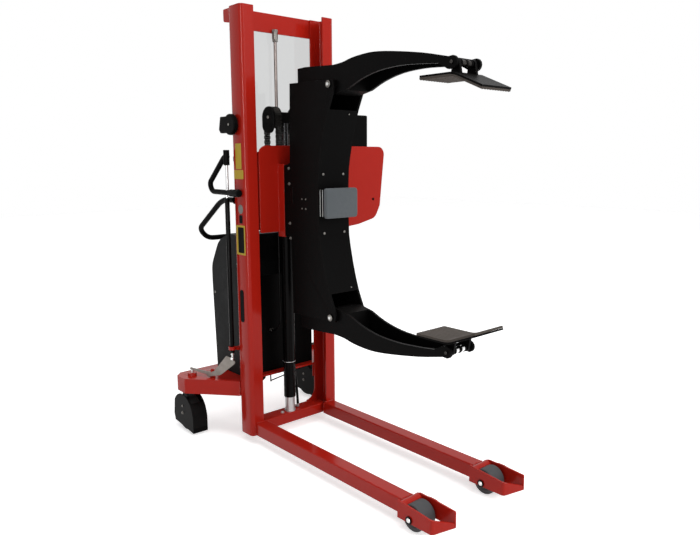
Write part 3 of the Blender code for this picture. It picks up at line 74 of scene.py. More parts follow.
# The mast's origin, which most places below are measured from: between the columns, at their front, on the floor
MAST = np.array([(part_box("near_column")[0].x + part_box("far_column")[1].x) / 2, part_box("near_column")[0].y, 0.0])
AXES = {"X": (1, 2, 0), "Y": (2, 0, 1), "Z": (0, 1, 2)}
SIDES = (("near", -1), ("far", 1))
ENDS = (("upper", 1), ("lower", -1))
LIFT_DEPTH = 0.0475  # from the mast's front face to the lift cylinder's axis
SHEAVE_LEVEL = 1.377  # height of the sheaves' shaft
CLAMP_LEVEL = 1.035  # height of the axis that the clamp turns about
PAD_PIN_REACH, PAD_PIN_RISE = 0.915, 0.462  # from the mast's front face, and from the clamp's axis
BRAKE_TUBE = (-0.2505, 0.115)  # x and y of the brake tube's axis
CASTER = (0.342, 0.309)  # x and y of the far caster's swivel axis
COLUMN_REAR = 0.0925  # just behind the columns' rear faces
CAMERA_PLACE = (-1.7022, -2.2985, 1.2005)


def low_high(node):
    """A node's lowest and highest corner, from the mast's origin."""
    low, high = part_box(node)
    return np.array(low) - MAST, np.array(high) - MAST


def middle(node):
    """The middle of a node's box, from the mast's origin."""
    low, high = low_high(node)
    return (low + high) / 2


def round_size(node):
    """The middle of a node that is round about X, its radius and half its width."""
    low, high = low_high(node)
    return (low + high) / 2, (high[2] - low[2]) / 2, (high[0] - low[0]) / 2


def colour_setting(name, description, default):
    return FloatVectorProperty(name=name, description=description, subtype="COLOR", size=3, min=0, max=1,
                               default=default)


def size_setting(name, description, default):
    return FloatProperty(name=name, description=description, subtype="DISTANCE", default=default)


class StackerPaint(bpy.types.PropertyGroup):
    """Colours of the stacker's paints, plastics and rubbers."""

    red: colour_setting("Red enamel", "Mast, legs, base and carriage", (0.42, 0.0135, 0.0065))
    black: colour_setting("Black enamel", "Clamp, handles and lift gear", (0.0026, 0.0024, 0.0024))
    cover: colour_setting("Cover plastic", "Moulded cover of the power pack", (0.0095, 0.0097, 0.0100))
    buffer: colour_setting("Buffer rubber", "Grey pad in front of the clamp", (0.100, 0.112, 0.120))
    roller: colour_setting("Roller tyre", "Grey tyres of the load rollers", (0.070, 0.071, 0.075))
    tyre: colour_setting("Black rubber", "Caster tyres and pad facings", (0.016, 0.016, 0.016))
    dust: colour_setting("Dust", "Settled workshop dust", (0.16, 0.14, 0.12))


class StackerSizes(bpy.types.PropertyGroup):
    """Sizes of the stacker's finishing detail."""

    edge: size_setting("Edge radius", "Rounding of cut plate edges", 0.0028)
    weld: size_setting("Weld size", "Radius of the weld beads", 0.0030)
    link_pitch: size_setting("Chain pitch", "Distance between the chain's pins", 0.0095)
    link_height: size_setting("Link height", "Height of a link plate", 0.0056)
    chain_width: size_setting("Chain width", "Width over a chain's link plates", 0.0300)
    chain_side: size_setting("Chain place", "Distance of each chain from the mast's middle", 0.0612)
    rib_pitch: size_setting("Rib pitch", "Distance between the ribs of a pad's rubber", 0.0130)
    bolt: size_setting("Bolt size", "Radius of the clamp's bolt heads", 0.0060)


class StackerStudio(bpy.types.PropertyGroup):
    """Light and camera of the studio."""

    key: FloatProperty(name="Key light", description="Power of the front softbox", subtype="POWER", default=105)
    top: FloatProperty(name="Top light", description="Power of the overhead softbox", subtype="POWER", default=85)
    strip: FloatProperty(name="Strip light", description="Power of the softbox that only glossy faces show",
                         subtype="POWER", default=100)
    room: FloatProperty(name="Room light", description="Strength of the light from all round", default=0.46, min=0)
    lens: FloatProperty(name="Lens", description="Focal length of the camera", unit="CAMERA", default=34.33)
    turn: FloatProperty(name="Turn", description="Camera's direction round the machine", subtype="ANGLE",
                        default=math.radians(-41.39))
    pitch: FloatProperty(name="Pitch", description="Camera's tilt below the horizon", subtype="ANGLE",
                         default=math.radians(9.154))
    roll: FloatProperty(name="Roll", description="Camera's roll", subtype="ANGLE", default=math.radians(-0.268))


class Nodes:
    """Short calls for building a node tree."""

    def __init__(self, tree):
        self.tree = tree

    def add(self, kind, inputs=None, **settings):
        made = self.tree.nodes.new(kind if kind.startswith("Node") else "ShaderNode" + kind)
        for name, value in settings.items():
            setattr(made, name, value)
        for name, value in (inputs or {}).items():
            if isinstance(value, bpy.types.NodeSocket):
                self.tree.links.new(value, made.inputs[name])
            else:
                made.inputs[name].default_value = value
        return made

    def math(self, operation, first, second=0.0, clamp=False):
        return self.add("Math", {0: first, 1: second}, operation=operation, use_clamp=clamp).outputs[0]

    def fit(self, value, low, high, to_low=0.0, to_high=1.0):
        """A value moved from one range to another, and held inside it."""
        inputs = {"Value": value, "From Min": low, "From Max": high, "To Min": to_low, "To Max": to_high}
        return self.add("MapRange", inputs, clamp=True).outputs[0]

    def mix(self, share, first, second):
        """Two colours mixed."""
        made = self.add("Mix", {0: share}, data_type="RGBA")
        for index, value in ((6, first), (7, second)):
            if isinstance(value, bpy.types.NodeSocket):
                self.tree.links.new(value, made.inputs[index])
            else:
                made.inputs[index].default_value = (*value[:3], 1)
        return made.outputs[2]

    def noise(self, vector, scale, detail=3.0, roughness=0.5):
        inputs = {"Vector": vector, "Scale": scale, "Detail": detail, "Roughness": roughness}
        return self.add("TexNoise", inputs).outputs[0]

    def stretched(self, vector, scale, turn=(0, 0, 0)):
        return self.add("Mapping", {"Vector": vector, "Scale": scale, "Rotation": turn}).outputs[0]


def group(name, inputs, outputs, body):
    """A node group, made the first time that it is asked for. Its body joins the inputs to the outputs."""
    found = bpy.data.node_groups.get(name)
    if found:
        return found
    tree = bpy.data.node_groups.new(name, "ShaderNodeTree")
    for label, kind, value in inputs:
        socket = tree.interface.new_socket(label, in_out="INPUT", socket_type="NodeSocket" + kind)
        if value is not None:
            socket.default_value = value
    for label in outputs:
        tree.interface.new_socket(label, in_out="OUTPUT", socket_type="NodeSocketFloat")
    nodes = Nodes(tree)
    made = body(nodes, nodes.add("NodeGroupInput").outputs)
    nodes.add("NodeGroupOutput", dict(zip(outputs, made)))
    return tree


def handling_marks():
    """Broad soft patches broken up by small ones, as hands and cloths leave them."""
    def body(nodes, given):
        broad = nodes.noise(given["Vector"], given["Scale"], 4, 0.6)
        small = nodes.noise(given["Vector"], nodes.math("MULTIPLY", given["Scale"], 7.0), 3, 0.6)
        both = nodes.math("MULTIPLY", nodes.fit(broad, 0.38, 0.72), nodes.fit(small, 0.25, 0.75))
        return [nodes.math("MULTIPLY", both, given["Amount"], clamp=True)]

    return group("handling marks", [("Vector", "Vector", None), ("Scale", "Float", 5.0), ("Amount", "Float", 1.0)],
                 ["Mask"], body)


def fine_scratches():
    """Thin contour lines of a stretched noise, kept only where a second noise is high."""
    def body(nodes, given):
        along = nodes.stretched(given["Vector"], (1.0, 5.0, 1.6), (0.3, 0.5, 0.9))
        across = nodes.stretched(given["Vector"], (4.0, 1.0, 1.3), (0.8, 0.2, 0.4))
        masks = []
        for vector, scale in ((along, given["Scale"]), (across, nodes.math("MULTIPLY", given["Scale"], 1.4))):
            wave = nodes.noise(vector, scale, 1.5, 0.4)
            line = nodes.fit(nodes.math("ABSOLUTE", nodes.math("SUBTRACT", wave, 0.5)), 0.0, 0.0035, 1.0, 0.0)
            patch = nodes.fit(nodes.noise(vector, nodes.math("MULTIPLY", scale, 0.8), 2), 0.52, 0.62)
            masks.append(nodes.math("MULTIPLY", line, patch))
        return [nodes.math("MULTIPLY", nodes.math("MAXIMUM", *masks), given["Amount"], clamp=True)]

    return group("fine scratches", [("Vector", "Vector", None), ("Scale", "Float", 9.0), ("Amount", "Float", 1.0)],
                 ["Mask"], body)


def edge_wear():
    """How far the surface's normal turns within a small reach, broken up by noise."""
    def body(nodes, given):
        wide = nodes.add("Bevel", {"Radius": given["Reach"]}, samples=4).outputs[0]
        plain = nodes.add("NewGeometry").outputs["Normal"]
        same = nodes.add("VectorMath", {0: wide, 1: plain}, operation="DOT_PRODUCT").outputs["Value"]
        edge = nodes.fit(same, 0.995, 0.88)
        chips = nodes.fit(nodes.noise(given["Vector"], 60.0, 4, 0.65), 0.46, 0.66)
        return [nodes.math("MULTIPLY", nodes.math("MULTIPLY", edge, chips), given["Amount"], clamp=True)]

    return group("edge wear", [("Vector", "Vector", None), ("Reach", "Float", 0.003), ("Amount", "Float", 1.0)],
                 ["Mask"], body)


def settled_dust():
    """Dust that lies on faces that look up, in soft clouds."""
    def body(nodes, given):
        normal = nodes.add("SeparateXYZ", {0: nodes.add("NewGeometry").outputs["Normal"]}).outputs[2]
        cloud = nodes.fit(nodes.noise(given["Vector"], 16.0, 5, 0.65), 0.3, 0.75)
        top = nodes.fit(normal, 0.35, 0.98)
        return [nodes.math("MULTIPLY", nodes.math("MULTIPLY", top, cloud), given["Amount"], clamp=True)]

    return group("settled dust", [("Vector", "Vector", None), ("Amount", "Float", 1.0)], ["Mask"], body)


def orange_peel():
    """The shallow waves of sprayed paint: a fine noise over a broader one."""
    def body(nodes, given):
        fine = nodes.noise(given["Vector"], given["Scale"], 1, 0.4)
        broad = nodes.noise(given["Vector"], nodes.math("MULTIPLY", given["Scale"], 0.3), 2, 0.5)
        return [nodes.math("ADD", nodes.math("MULTIPLY", fine, 0.6), nodes.math("MULTIPLY", broad, 0.4))]

    return group("orange peel", [("Vector", "Vector", None), ("Scale", "Float", 260.0)], ["Height"], body)


def moulded_grain():
    """The pebbled grain of moulded plastic and rubber, from the cells of a Voronoi texture."""
    def body(nodes, given):
        cells = nodes.add("TexVoronoi", {"Vector": given["Vector"], "Scale": given["Scale"]}, feature="SMOOTH_F1")
        fine = nodes.noise(given["Vector"], nodes.math("MULTIPLY", given["Scale"], 1.7), 2, 0.6)
        return [nodes.math("ADD", nodes.math("MULTIPLY", cells.outputs[0], 0.7), nodes.math("MULTIPLY", fine, 0.3))]

    return group("moulded grain", [("Vector", "Vector", None), ("Scale", "Float", 700.0)], ["Height"], body)


def brushed_lines():
    """Short lines left by a brush or a lathe: noise stretched across the piece, with a broad stain over it."""
    def body(nodes, given):
        lines = nodes.noise(nodes.stretched(given["Vector"], (1.0, 1.0, 26.0)), given["Scale"], 3, 0.7)
        stain = nodes.noise(given["Vector"], 34.0, 4, 0.6)
        return [lines, nodes.fit(stain, 0.35, 0.7)]

    return group("brushed lines", [("Vector", "Vector", None), ("Scale", "Float", 40.0)], ["Height", "Stain"], body)


def material(name, body):
    """A material by name. Its body gets the nodes, the object's coordinates and the shader."""
    found = bpy.data.materials.get(name)
    if found:
        return found
    made = bpy.data.materials.new(name)
    made.use_nodes = True
    nodes = Nodes(made.node_tree)
    shader = made.node_tree.nodes["Principled BSDF"]
    place = nodes.add("TexCoord").outputs["Object"]
    body(nodes, place, shader)
    return made


def use(nodes, made_group, inputs, output=0):
    """One output of a node group that is placed in a material."""
    return nodes.add("Group", inputs, node_tree=made_group).outputs[output]


def wire(nodes, shader, shade, gloss, bump=None, **plain):
    """Joins a shader's colour, roughness and bump, and sets the plain values of its own sockets."""
    joined = {"Base Color": shade, "Roughness": gloss}
    if bump is not None:
        joined["Normal"] = bump.outputs[0]
    for name, socket in joined.items():
        nodes.tree.links.new(socket, shader.inputs[name])
    for name, value in plain.items():
        shader.inputs[name.replace("_", " ")].default_value = value


def enamel(name, colour, deep, worn, roughness, peel, specular, dust, wear, scratches):
    """Sprayed paint: handling marks, fine scratches, worn edges, dust and the shallow waves of the spray. On the black
    enamel the pale worn edges are partly real chips and partly a painted edge highlight.
    """
    def body(nodes, place, shader):
        marks = use(nodes, handling_marks(), {"Vector": place, "Scale": 2.6, "Amount": 0.8})
        lines = use(nodes, fine_scratches(), {"Vector": place, "Scale": 9.0, "Amount": scratches})
        edges = use(nodes, edge_wear(), {"Vector": place, "Reach": 0.0022, "Amount": wear})
        cloud = use(nodes, settled_dust(), {"Vector": place, "Amount": dust})
        shade = nodes.mix(nodes.math("MULTIPLY", marks, 0.22), colour, deep)
        shade = nodes.mix(lines, shade, worn)
        # Paler worn edges: real chips, and on the black enamel partly a painted edge highlight too
        shade = nodes.mix(edges, shade, worn)
        shade = nodes.mix(cloud, shade, tuple(bpy.context.scene.stacker_paint.dust))
        gloss = nodes.fit(marks, 0.0, 1.0, roughness, roughness + 0.10)
        gloss = nodes.math("ADD", gloss, nodes.math("MULTIPLY", nodes.math("ADD", cloud, lines), 0.3), clamp=True)
        height = use(nodes, orange_peel(), {"Vector": place, "Scale": peel})
        bump = nodes.add("Bump", {"Strength": 0.22, "Distance": 0.0005, "Height": height})
        wire(nodes, shader, shade, gloss, bump, Specular_IOR_Level=specular)

    return material(name, body)


def metal(name, colour, stained, roughness, lines, stain, metallic=1.0):
    """Bare or plated metal: brush lines in its height and roughness, and stains in its colour."""
    def body(nodes, place, shader):
        brushed = nodes.add("Group", {"Vector": place}, node_tree=brushed_lines()).outputs
        marks = use(nodes, handling_marks(), {"Vector": place, "Scale": 14.0, "Amount": 1.0})
        edges = use(nodes, edge_wear(), {"Vector": place, "Reach": 0.0015, "Amount": 0.5})
        shade = nodes.mix(nodes.math("MULTIPLY", brushed["Stain"], stain), colour, stained)
        shade = nodes.mix(edges, shade, tuple(min(1.0, c * 1.25) for c in colour))
        gloss = nodes.math("ADD", nodes.fit(brushed["Height"], 0.2, 0.8, roughness * 0.75, roughness * 1.3),
                           nodes.math("MULTIPLY", marks, 0.10), clamp=True)
        bump = nodes.add("Bump", {"Strength": lines, "Distance": 0.0002, "Height": brushed["Height"]})
        wire(nodes, shader, shade, gloss, bump, Metallic=metallic)

    return material(name, body)


def moulded(name, colour, pale, roughness, grain, height, specular, dust, sheen=0.0):
    """Moulded plastic or rubber: a pebbled grain, paler rubbed edges, marks and dust."""
    def body(nodes, place, shader):
        marks = use(nodes, handling_marks(), {"Vector": place, "Scale": 8.0, "Amount": 1.0})
        lines = use(nodes, fine_scratches(), {"Vector": place, "Scale": 13.0, "Amount": 0.45})
        edges = use(nodes, edge_wear(), {"Vector": place, "Reach": 0.003, "Amount": 0.6})
        cloud = use(nodes, settled_dust(), {"Vector": place, "Amount": dust})
        shade = nodes.mix(nodes.math("MULTIPLY", marks, 0.4), colour, pale)
        shade = nodes.mix(nodes.math("MAXIMUM", edges, lines), shade, pale)
        shade = nodes.mix(cloud, shade, tuple(bpy.context.scene.stacker_paint.dust))
        gloss = nodes.fit(marks, 0.0, 1.0, roughness + 0.08, roughness - 0.08)
        texture = use(nodes, moulded_grain(), {"Vector": place, "Scale": grain})
        bump = nodes.add("Bump", {"Strength": 0.5, "Distance": height, "Height": texture})
        wire(nodes, shader, shade, gloss, bump, Specular_IOR_Level=specular, Sheen_Weight=sheen)

    return material(name, body)


def clear_sheet():
    """Clear polycarbonate with a grey tint, faint smears and hairline scratches."""
    def body(nodes, place, shader):
        marks = use(nodes, handling_marks(), {"Vector": place, "Scale": 6.0, "Amount": 1.0})
        lines = use(nodes, fine_scratches(), {"Vector": place, "Scale": 11.0, "Amount": 0.4})
        shade = nodes.mix(nodes.math("MAXIMUM", nodes.math("MULTIPLY", marks, 0.20), lines), (0.655, 0.66, 0.66),
                          (0.60, 0.605, 0.60))
        gloss = nodes.math("ADD", nodes.fit(marks, 0.0, 1.0, 0.03, 0.10), nodes.math("MULTIPLY", lines, 0.3))
        wire(nodes, shader, shade, gloss, Transmission_Weight=1.0, IOR=1.35, Specular_IOR_Level=0.25)

    return material("clear sheet", body)


# Each metal's colour, stained colour, roughness, depth of its lines and share of stain, and its metallic share where
# that isn't one
METALS = {
    "chrome": ((0.62, 0.62, 0.62), (0.46, 0.45, 0.44), 0.11, 0.04, 0.25),
    # The ram's chrome is given a dark colour: a painted reflection of the black clamp in front of it
    "dark chrome": ((0.085, 0.085, 0.088), (0.050, 0.049, 0.049), 0.24, 0.05, 0.4, 0.9),
    "worn chrome": ((0.20, 0.17, 0.16), (0.12, 0.10, 0.09), 0.30, 0.10, 0.6, 0.9),
    "zinc": ((0.40, 0.385, 0.36), (0.26, 0.25, 0.235), 0.34, 0.18, 0.6),
    "dull zinc": ((0.19, 0.18, 0.165), (0.10, 0.095, 0.088), 0.42, 0.20, 0.7, 0.9),
    "lever steel": ((0.26, 0.235, 0.215), (0.16, 0.14, 0.12), 0.46, 0.20, 0.7, 0.6),
    "steel": ((0.34, 0.33, 0.32), (0.19, 0.175, 0.16), 0.32, 0.25, 0.6),
    "oiled steel": ((0.040, 0.037, 0.034), (0.018, 0.016, 0.014), 0.38, 0.25, 0.7, 0.85),
}


# A slot of the record, and the finish that it gets
RED, BLACK, GLOSS_BLACK = ("red_paint", "red enamel"), ("black_paint", "black enamel"), ("black_paint", "gloss black")
ZINC, DULL_ZINC = ("zinc", "zinc"), ("zinc", "dull zinc")
STEEL, OILED_STEEL = ("steel", "steel"), ("steel", "oiled steel")
COVER, BLACK_RUBBER = ("dark_plastic", "cover plastic"), ("black_rubber", "black rubber")


def finish(name):
    """The stacker's finishes by name. An enamel has its colour, deep and worn colour, roughness, peel, specular, dust,
    wear and scratches. A moulded finish has its colour, pale colour, roughness, grain, height, specular and dust."""
    paint = bpy.context.scene.stacker_paint
    red, black, cover = np.array(paint.red), np.array(paint.black), np.array(paint.cover)
    enamels = {
        "red enamel": (red, red * 0.74, (0.48, 0.075, 0.04), 0.15, 180.0, 0.15, 0.03, 0.30, 0.08),
        # Black enamel's pale worn edges: partly real chips, partly a painted highlight along the clamp's edges
        "black enamel": (black, black * 0.6, (0.034, 0.031, 0.029), 0.40, 320.0, 0.030, 0.010, 0.42, 0.18),
        "gloss black": (black, black * 0.7, (0.026, 0.024, 0.022), 0.24, 280.0, 0.060, 0.01, 0.20, 0.10),
        "guard enamel": (black * 1.8, black, (0.040, 0.037, 0.034), 0.46, 300.0, 0.045, 0.03, 0.40, 0.20),
    }
    plastics = {
        "cover plastic": (cover, cover * 1.8, 0.52, 620.0, 0.00035, 0.075, 0.02),
        "black rubber": (tuple(paint.tyre), (0.034, 0.033, 0.031), 0.62, 480.0, 0.0003, 0.09, 0.04, 0.05),
        "pad rubber": ((0.062, 0.051, 0.043), (0.10, 0.088, 0.078), 0.70, 480.0, 0.0004, 0.16, 0.04, 0.05),
        "buffer rubber": (tuple(paint.buffer), (0.15, 0.16, 0.17), 0.66, 420.0, 0.0004, 0.16, 0.06, 0.10),
        "roller tyre": (tuple(paint.roller), (0.11, 0.11, 0.115), 0.52, 520.0, 0.00025, 0.20, 0.03),
        "plain plate": ((0.50, 0.34, 0.025), (0.56, 0.42, 0.09), 0.44, 300.0, 0.0001, 0.22, 0.03),
    }
    for make, known in ((metal, METALS), (enamel, enamels), (moulded, plastics)):
        if name in known:
            return make(name, *known[name])
    return clear_sheet()


# Shapes


class Shape:
    """Grids of points and flat faces, gathered into one mesh."""

    def __init__(self):
        self.points, self.faces, self.count = [], [], 0

    def keep(self, points, faces):
        self.points.append(np.asarray(points, float).reshape(-1, 3))
        self.faces += (np.asarray(faces) + self.count).tolist()
        self.count += len(self.points[-1])

    def grid(self, points):
        """A grid (rows, columns, 3) joined into quads, also from the last column to the first."""
        rows, columns = points.shape[:2]
        index = np.arange(rows * columns).reshape(rows, columns)
        index = np.concatenate([index, index[:, :1]], axis=1)
        quads = np.stack([index[:-1, :-1], index[:-1, 1:], index[1:, 1:], index[1:, :-1]], axis=-1)
        self.keep(points, quads.reshape(-1, 4))

    def prism(self, rings):
        """Rings of points (rows, columns, 3) joined into quads, with a flat face on the first and the last."""
        rows, columns = rings.shape[:2]
        base = self.count
        self.grid(rings)
        for first in (base, base + (rows - 1) * columns):
            self.faces.append(list(range(first, first + columns)))

    def turn(self, profile, axis, centre, steps=40, closed=False):
        """A profile turned round an axis, as in revolved. A closed one is joined from its last pair to its first."""
        profile = np.asarray(profile, float)
        self.grid(revolved(np.concatenate([profile, profile[:1]]) if closed else profile, axis, centre, steps))

    def tube(self, path, radius, sides=18):
        """A round section along a path, as in swept."""
        self.grid(swept(path, radius, sides))

    def slab(self, outline, axis, start, end):
        """An outline carried along an axis from start to end, with one flat face at each end. Its pairs are in the
        axis's own order: (y, z) along X, (z, x) along Y and (x, y) along Z."""
        first, second, along = AXES[axis]
        outline = np.asarray(outline, float)
        rings = np.zeros((2, len(outline), 3))
        rings[..., first], rings[..., second] = outline[:, 0], outline[:, 1]
        rings[0, :, along], rings[1, :, along] = start, end
        self.prism(rings)

    def plates(self, outline, frames, half):
        """Many equal flat links. frames (k, 4, 3) holds each one's centre, its direction, the direction across it in
        its plane and the direction of its thickness. A point is centre + u along + v across +- half its thickness."""
        outline, count = np.asarray(outline, float), len(outline)
        centre, along, across, normal = (frames[:, i][:, None, None] for i in range(4))
        u, v = outline[:, 0][None, None, :, None], outline[:, 1][None, None, :, None]
        side = np.array([-half, half])[None, :, None, None]
        points = centre + u * along + v * across + side * normal
        index = np.arange(len(frames) * 2 * count).reshape(len(frames), 2, count)
        walls = np.stack([index[:, 0], np.roll(index[:, 0], -1, 1), np.roll(index[:, 1], -1, 1), index[:, 1]], axis=-1)
        base = self.count
        self.keep(points, walls.reshape(-1, 4))
        self.faces += (index.reshape(-1, count) + base).tolist()

    def mesh(self, name):
        """One closed mesh of all that was gathered, with its faces turned outwards."""
        mesh = bpy.data.meshes.new(name)
        mesh.from_pydata(np.concatenate(self.points) + MAST, [], self.faces)
        bm = bmesh.new()
        bm.from_mesh(mesh)
        bmesh.ops.remove_doubles(bm, verts=bm.verts, dist=1e-6)
        bmesh.ops.dissolve_degenerate(bm, dist=1e-6, edges=bm.edges)
        bmesh.ops.recalc_face_normals(bm, faces=bm.faces)
        bm.to_mesh(mesh)
        bm.free()
        return mesh

    def piece(self, name, body, slot, look, replaces=(), bevel=0.0, segments=2, sharp=32.0):
        """The object of all that was gathered, with its finish."""
        return placed(self.mesh(name), name, body, slot, look, replaces, bevel, segments, sharp)


def placed(mesh, name, body, slot, look, replaces=(), bevel=0.0, segments=2, sharp=32.0):
    """An object of a mesh with its finish, riding on its body where one is given."""
    mesh.materials.clear()
    mesh.materials.append(finish(look))
    mesh.shade_smooth()
    mesh.set_sharp_from_angle(angle=math.radians(sharp))
    made = bpy.data.objects.new(name, mesh)
    bpy.context.scene.collection.objects.link(made)
    if bevel:
        edge = made.modifiers.new("rounded edges", "BEVEL")
        edge.width, edge.segments, edge.limit_method = bevel, segments, "ANGLE"
        edge.angle_limit = math.radians(sharp)
        edge.harden_normals = True
        edge.use_clamp_overlap = True
    if body:
        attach(made, body)
    if replaces:
        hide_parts(*replaces)
    return made


def dressed(node, slot, look, bevel=0.0016, segments=2, sharp=32.0):
    """A merged copy of a CAD node, so that its edges can be rounded. It stands for the node."""
    return placed(merged(node), node + "_finished", BODY_OF[node], slot, look, (node,), bevel, segments, sharp)


def unit(vectors):
    """Vectors of length one."""
    return vectors / np.maximum(np.linalg.norm(vectors, axis=-1, keepdims=True), 1e-12)


def eased(points, reach, steps=5, closed=False):
    """Each corner C becomes the curve (1-t)^2 (C + a d) + 2t(1-t) C + t^2 (C + b d). Here a and b point to its
    neighbours, and d is the reach, or at most 0.48 of the shorter side."""
    points = np.asarray(points, float)
    back, on = np.roll(points, 1, axis=0) - points, np.roll(points, -1, axis=0) - points
    shorter = np.minimum(np.linalg.norm(back, axis=1), np.linalg.norm(on, axis=1))
    cut = np.minimum(np.broadcast_to(np.asarray(reach, float), shorter.shape), 0.48 * shorter)
    if not closed:
        cut = cut.copy()
        cut[[0, -1]] = 0
    start, end = points + unit(back) * cut[:, None], points + unit(on) * cut[:, None]
    t = np.linspace(0, 1, steps + 1)[None, :, None]
    line = ((1 - t) ** 2 * start[:, None] + 2 * t * (1 - t) * points[:, None] + t ** 2 * end[:, None])
    line = line.reshape(-1, points.shape[1])
    fresh = np.linalg.norm(line - np.roll(line, 1, axis=0), axis=1) > 1e-7
    if not closed:
        fresh[0] = True
    return line[fresh]


def revolved(profile, axis, centre, steps=40):
    """Pairs (radius, distance) turned round an axis: centre + radius (cos t, sin t) across it + distance along it. The
    distances run backwards where the axis has a minus sign."""
    sign = -1 if axis.startswith("-") else 1
    first, second, along = AXES[axis[-1]]
    profile = np.asarray(profile, float)
    turn = np.linspace(0, 2 * np.pi, steps, endpoint=False)
    grid = np.zeros((len(profile), steps, 3)) + np.asarray(centre, float)
    grid[..., first] += profile[:, :1] * np.cos(turn)
    grid[..., second] += profile[:, :1] * np.sin(turn)
    grid[..., along] += sign * profile[:, 1:]
    return grid


def rectangle(first_low, second_low, first_high, second_high):
    """The four corners of a rectangle in a plane."""
    return np.array([(first_low, second_low), (first_high, second_low), (first_high, second_high),
                     (first_low, second_high)], float)


def swept(path, radius, sides=18):
    """A round section carried along a path: path + radius (cos t across + sin t over). across is carried from station
    to station, so that it never twists. The radius is one number or one for each station, and both ends are closed."""
    path = np.asarray(path, float)
    tangent = unit(np.gradient(path, axis=0))
    across = np.zeros_like(path)
    carried = np.cross(tangent[0], [0.31, 0.17, 0.93])
    for i, direction in enumerate(tangent):
        carried = unit(carried - direction * (carried @ direction))
        across[i] = carried
    over = np.cross(tangent, across)
    radii = np.broadcast_to(np.asarray(radius, float), (len(path),))
    path, across, over = (np.concatenate([line[:1], line, line[-1:]]) for line in (path, across, over))
    radii = np.concatenate([[0.0], radii, [0.0]])
    turn = np.linspace(0, 2 * np.pi, sides, endpoint=False)[None, :, None]
    return path[:, None] + radii[:, None, None] * (np.cos(turn) * across[:, None] + np.sin(turn) * over[:, None])


def disc(radius, height, edge, foot=0.0):
    """Profile of a round head with a soft rim."""
    return [(0, foot), (radius, foot), (radius, height - edge), (radius - edge * 0.3, height - edge * 0.3),
            (radius - edge, height), (0, height)]


def bolt(shape, centre, axis, radius, kind="hex"):
    """A bolt head on a washer. A hex head is a six-sided ring, and a cap head has a round recess."""
    shape.turn(disc(radius * 1.35, radius * 0.22, radius * 0.08), axis, centre, 28)
    if kind == "hex":
        profile = [(0, radius * 0.2), (radius, radius * 0.2), (radius, radius * 0.72), (radius * 0.86, radius * 0.85),
                   (0, radius * 0.85)]
        shape.turn(profile, axis, centre, 6)
        shape.turn(disc(radius * 0.45, radius * 1.05, radius * 0.1, radius * 0.8), axis, centre, 20)
    else:
        profile = [(radius * 0.85, radius * 0.2), (radius * 0.85, radius * 0.95), (radius * 0.77, radius * 1.05),
                   (radius * 0.48, radius * 1.05), (radius * 0.45, radius * 1.0), (radius * 0.45, radius * 0.55),
                   (0, radius * 0.5)]
        shape.turn([(0, radius * 0.2)] + profile, axis, centre, 24)


def bead(shape, start, end, radius):
    """A weld bead: a round section along a line, its radius r (1 + 0.14 cos(2 pi s / pitch))."""
    start, end = np.asarray(start, float), np.asarray(end, float)
    length = np.linalg.norm(end - start)
    pitch = 0.0042
    count = max(8, int(length / pitch * 4))
    share = np.linspace(0, 1, count)[:, None]
    radii = radius * (1 + 0.14 * np.cos(2 * np.pi * share[:, 0] * length / pitch))
    shape.tube(start + (end - start) * share, radii, 8)


def hit(node, start, way):
    """The first point of a CAD node along a line, from the mast's origin, or None."""
    mesh = frame["nodes"][node].data
    corners = [corner.co for corner in mesh.vertices]
    tree = BVHTree.FromPolygons(corners, [tuple(face.vertices) for face in mesh.polygons])
    place = tree.ray_cast(Vector(np.asarray(start) + MAST), Vector(way))[0]
    return np.array(place) - MAST if place is not None else None


def cut_away(mesh, tool):
    """A mesh with a tool's mesh taken out of it."""
    whole, taken = (bpy.data.objects.new("work", part) for part in (mesh, tool))
    for item in (whole, taken):
        bpy.context.scene.collection.objects.link(item)
    step = whole.modifiers.new("cut", "BOOLEAN")
    step.operation, step.solver, step.object = "DIFFERENCE", "EXACT", taken
    left = bpy.data.meshes.new_from_object(whole.evaluated_get(bpy.context.evaluated_depsgraph_get()))
    for item in (whole, taken):
        bpy.data.objects.remove(item)
    return left


def merged(node):
    """A copy of a CAD node's mesh with its triangles joined into flat faces."""
    mesh = frame["nodes"][node].data.copy()
    bm = bmesh.new()
    bm.from_mesh(mesh)
    bmesh.ops.remove_doubles(bm, verts=bm.verts, dist=2e-5)
    bmesh.ops.dissolve_limit(bm, angle_limit=math.radians(0.6), verts=bm.verts, edges=bm.edges,
                             use_dissolve_boundaries=False)
    bm.to_mesh(mesh)
    bm.free()
    return mesh


# Pieces


def lever_plane():
    """The brake lever's upright plane: its start at the tube, its direction to the caster and the one across it."""
    start = np.array([*BRAKE_TUBE, 0])
    along = unit(np.array([-CASTER[0], CASTER[1], 0]) - start)
    return start, along, np.array([-along[1], along[0], 0])


def make_base_plate(sizes):
    """The rear base, open below its plate between the columns, where the lift cylinder stands."""
    tool = Shape()
    tool.slab(rectangle(-0.169, 0.080, 0.169, 0.104), "Z", 0.180, 0.2518)
    mesh = cut_away(merged("base_plate"), tool.mesh("base opening"))
    start, along, across = lever_plane()
    cheek = [start + s * along + t * across for s, t in rectangle(0.080, 0.0031, 0.140, 0.020)]
    tool = Shape()
    tool.slab(np.array(cheek)[:, :2], "Z", 0.2602, 0.330)
    mesh = cut_away(mesh, tool.mesh("lever space"))
    placed(mesh, "base_plate_finished", "chassis", *RED, ("base_plate",), sizes.edge, 3)
    rod = Shape()
    start, end = np.array([-0.026, 0.158, 0.200]), np.array([0.277, 0.2375, 0.200])
    rod.tube(start + (end - start) * np.linspace(0, 1, 12)[:, None], 0.0028, 12)
    for x, y, _ in (start, end):
        rod.tube([(x, y, 0.196), (x, y, 0.215), (x, y, 0.235), (x, y, 0.2519)], 0.0030, 12)
    rod.piece("plate_tie_rod", "chassis", *BLACK)


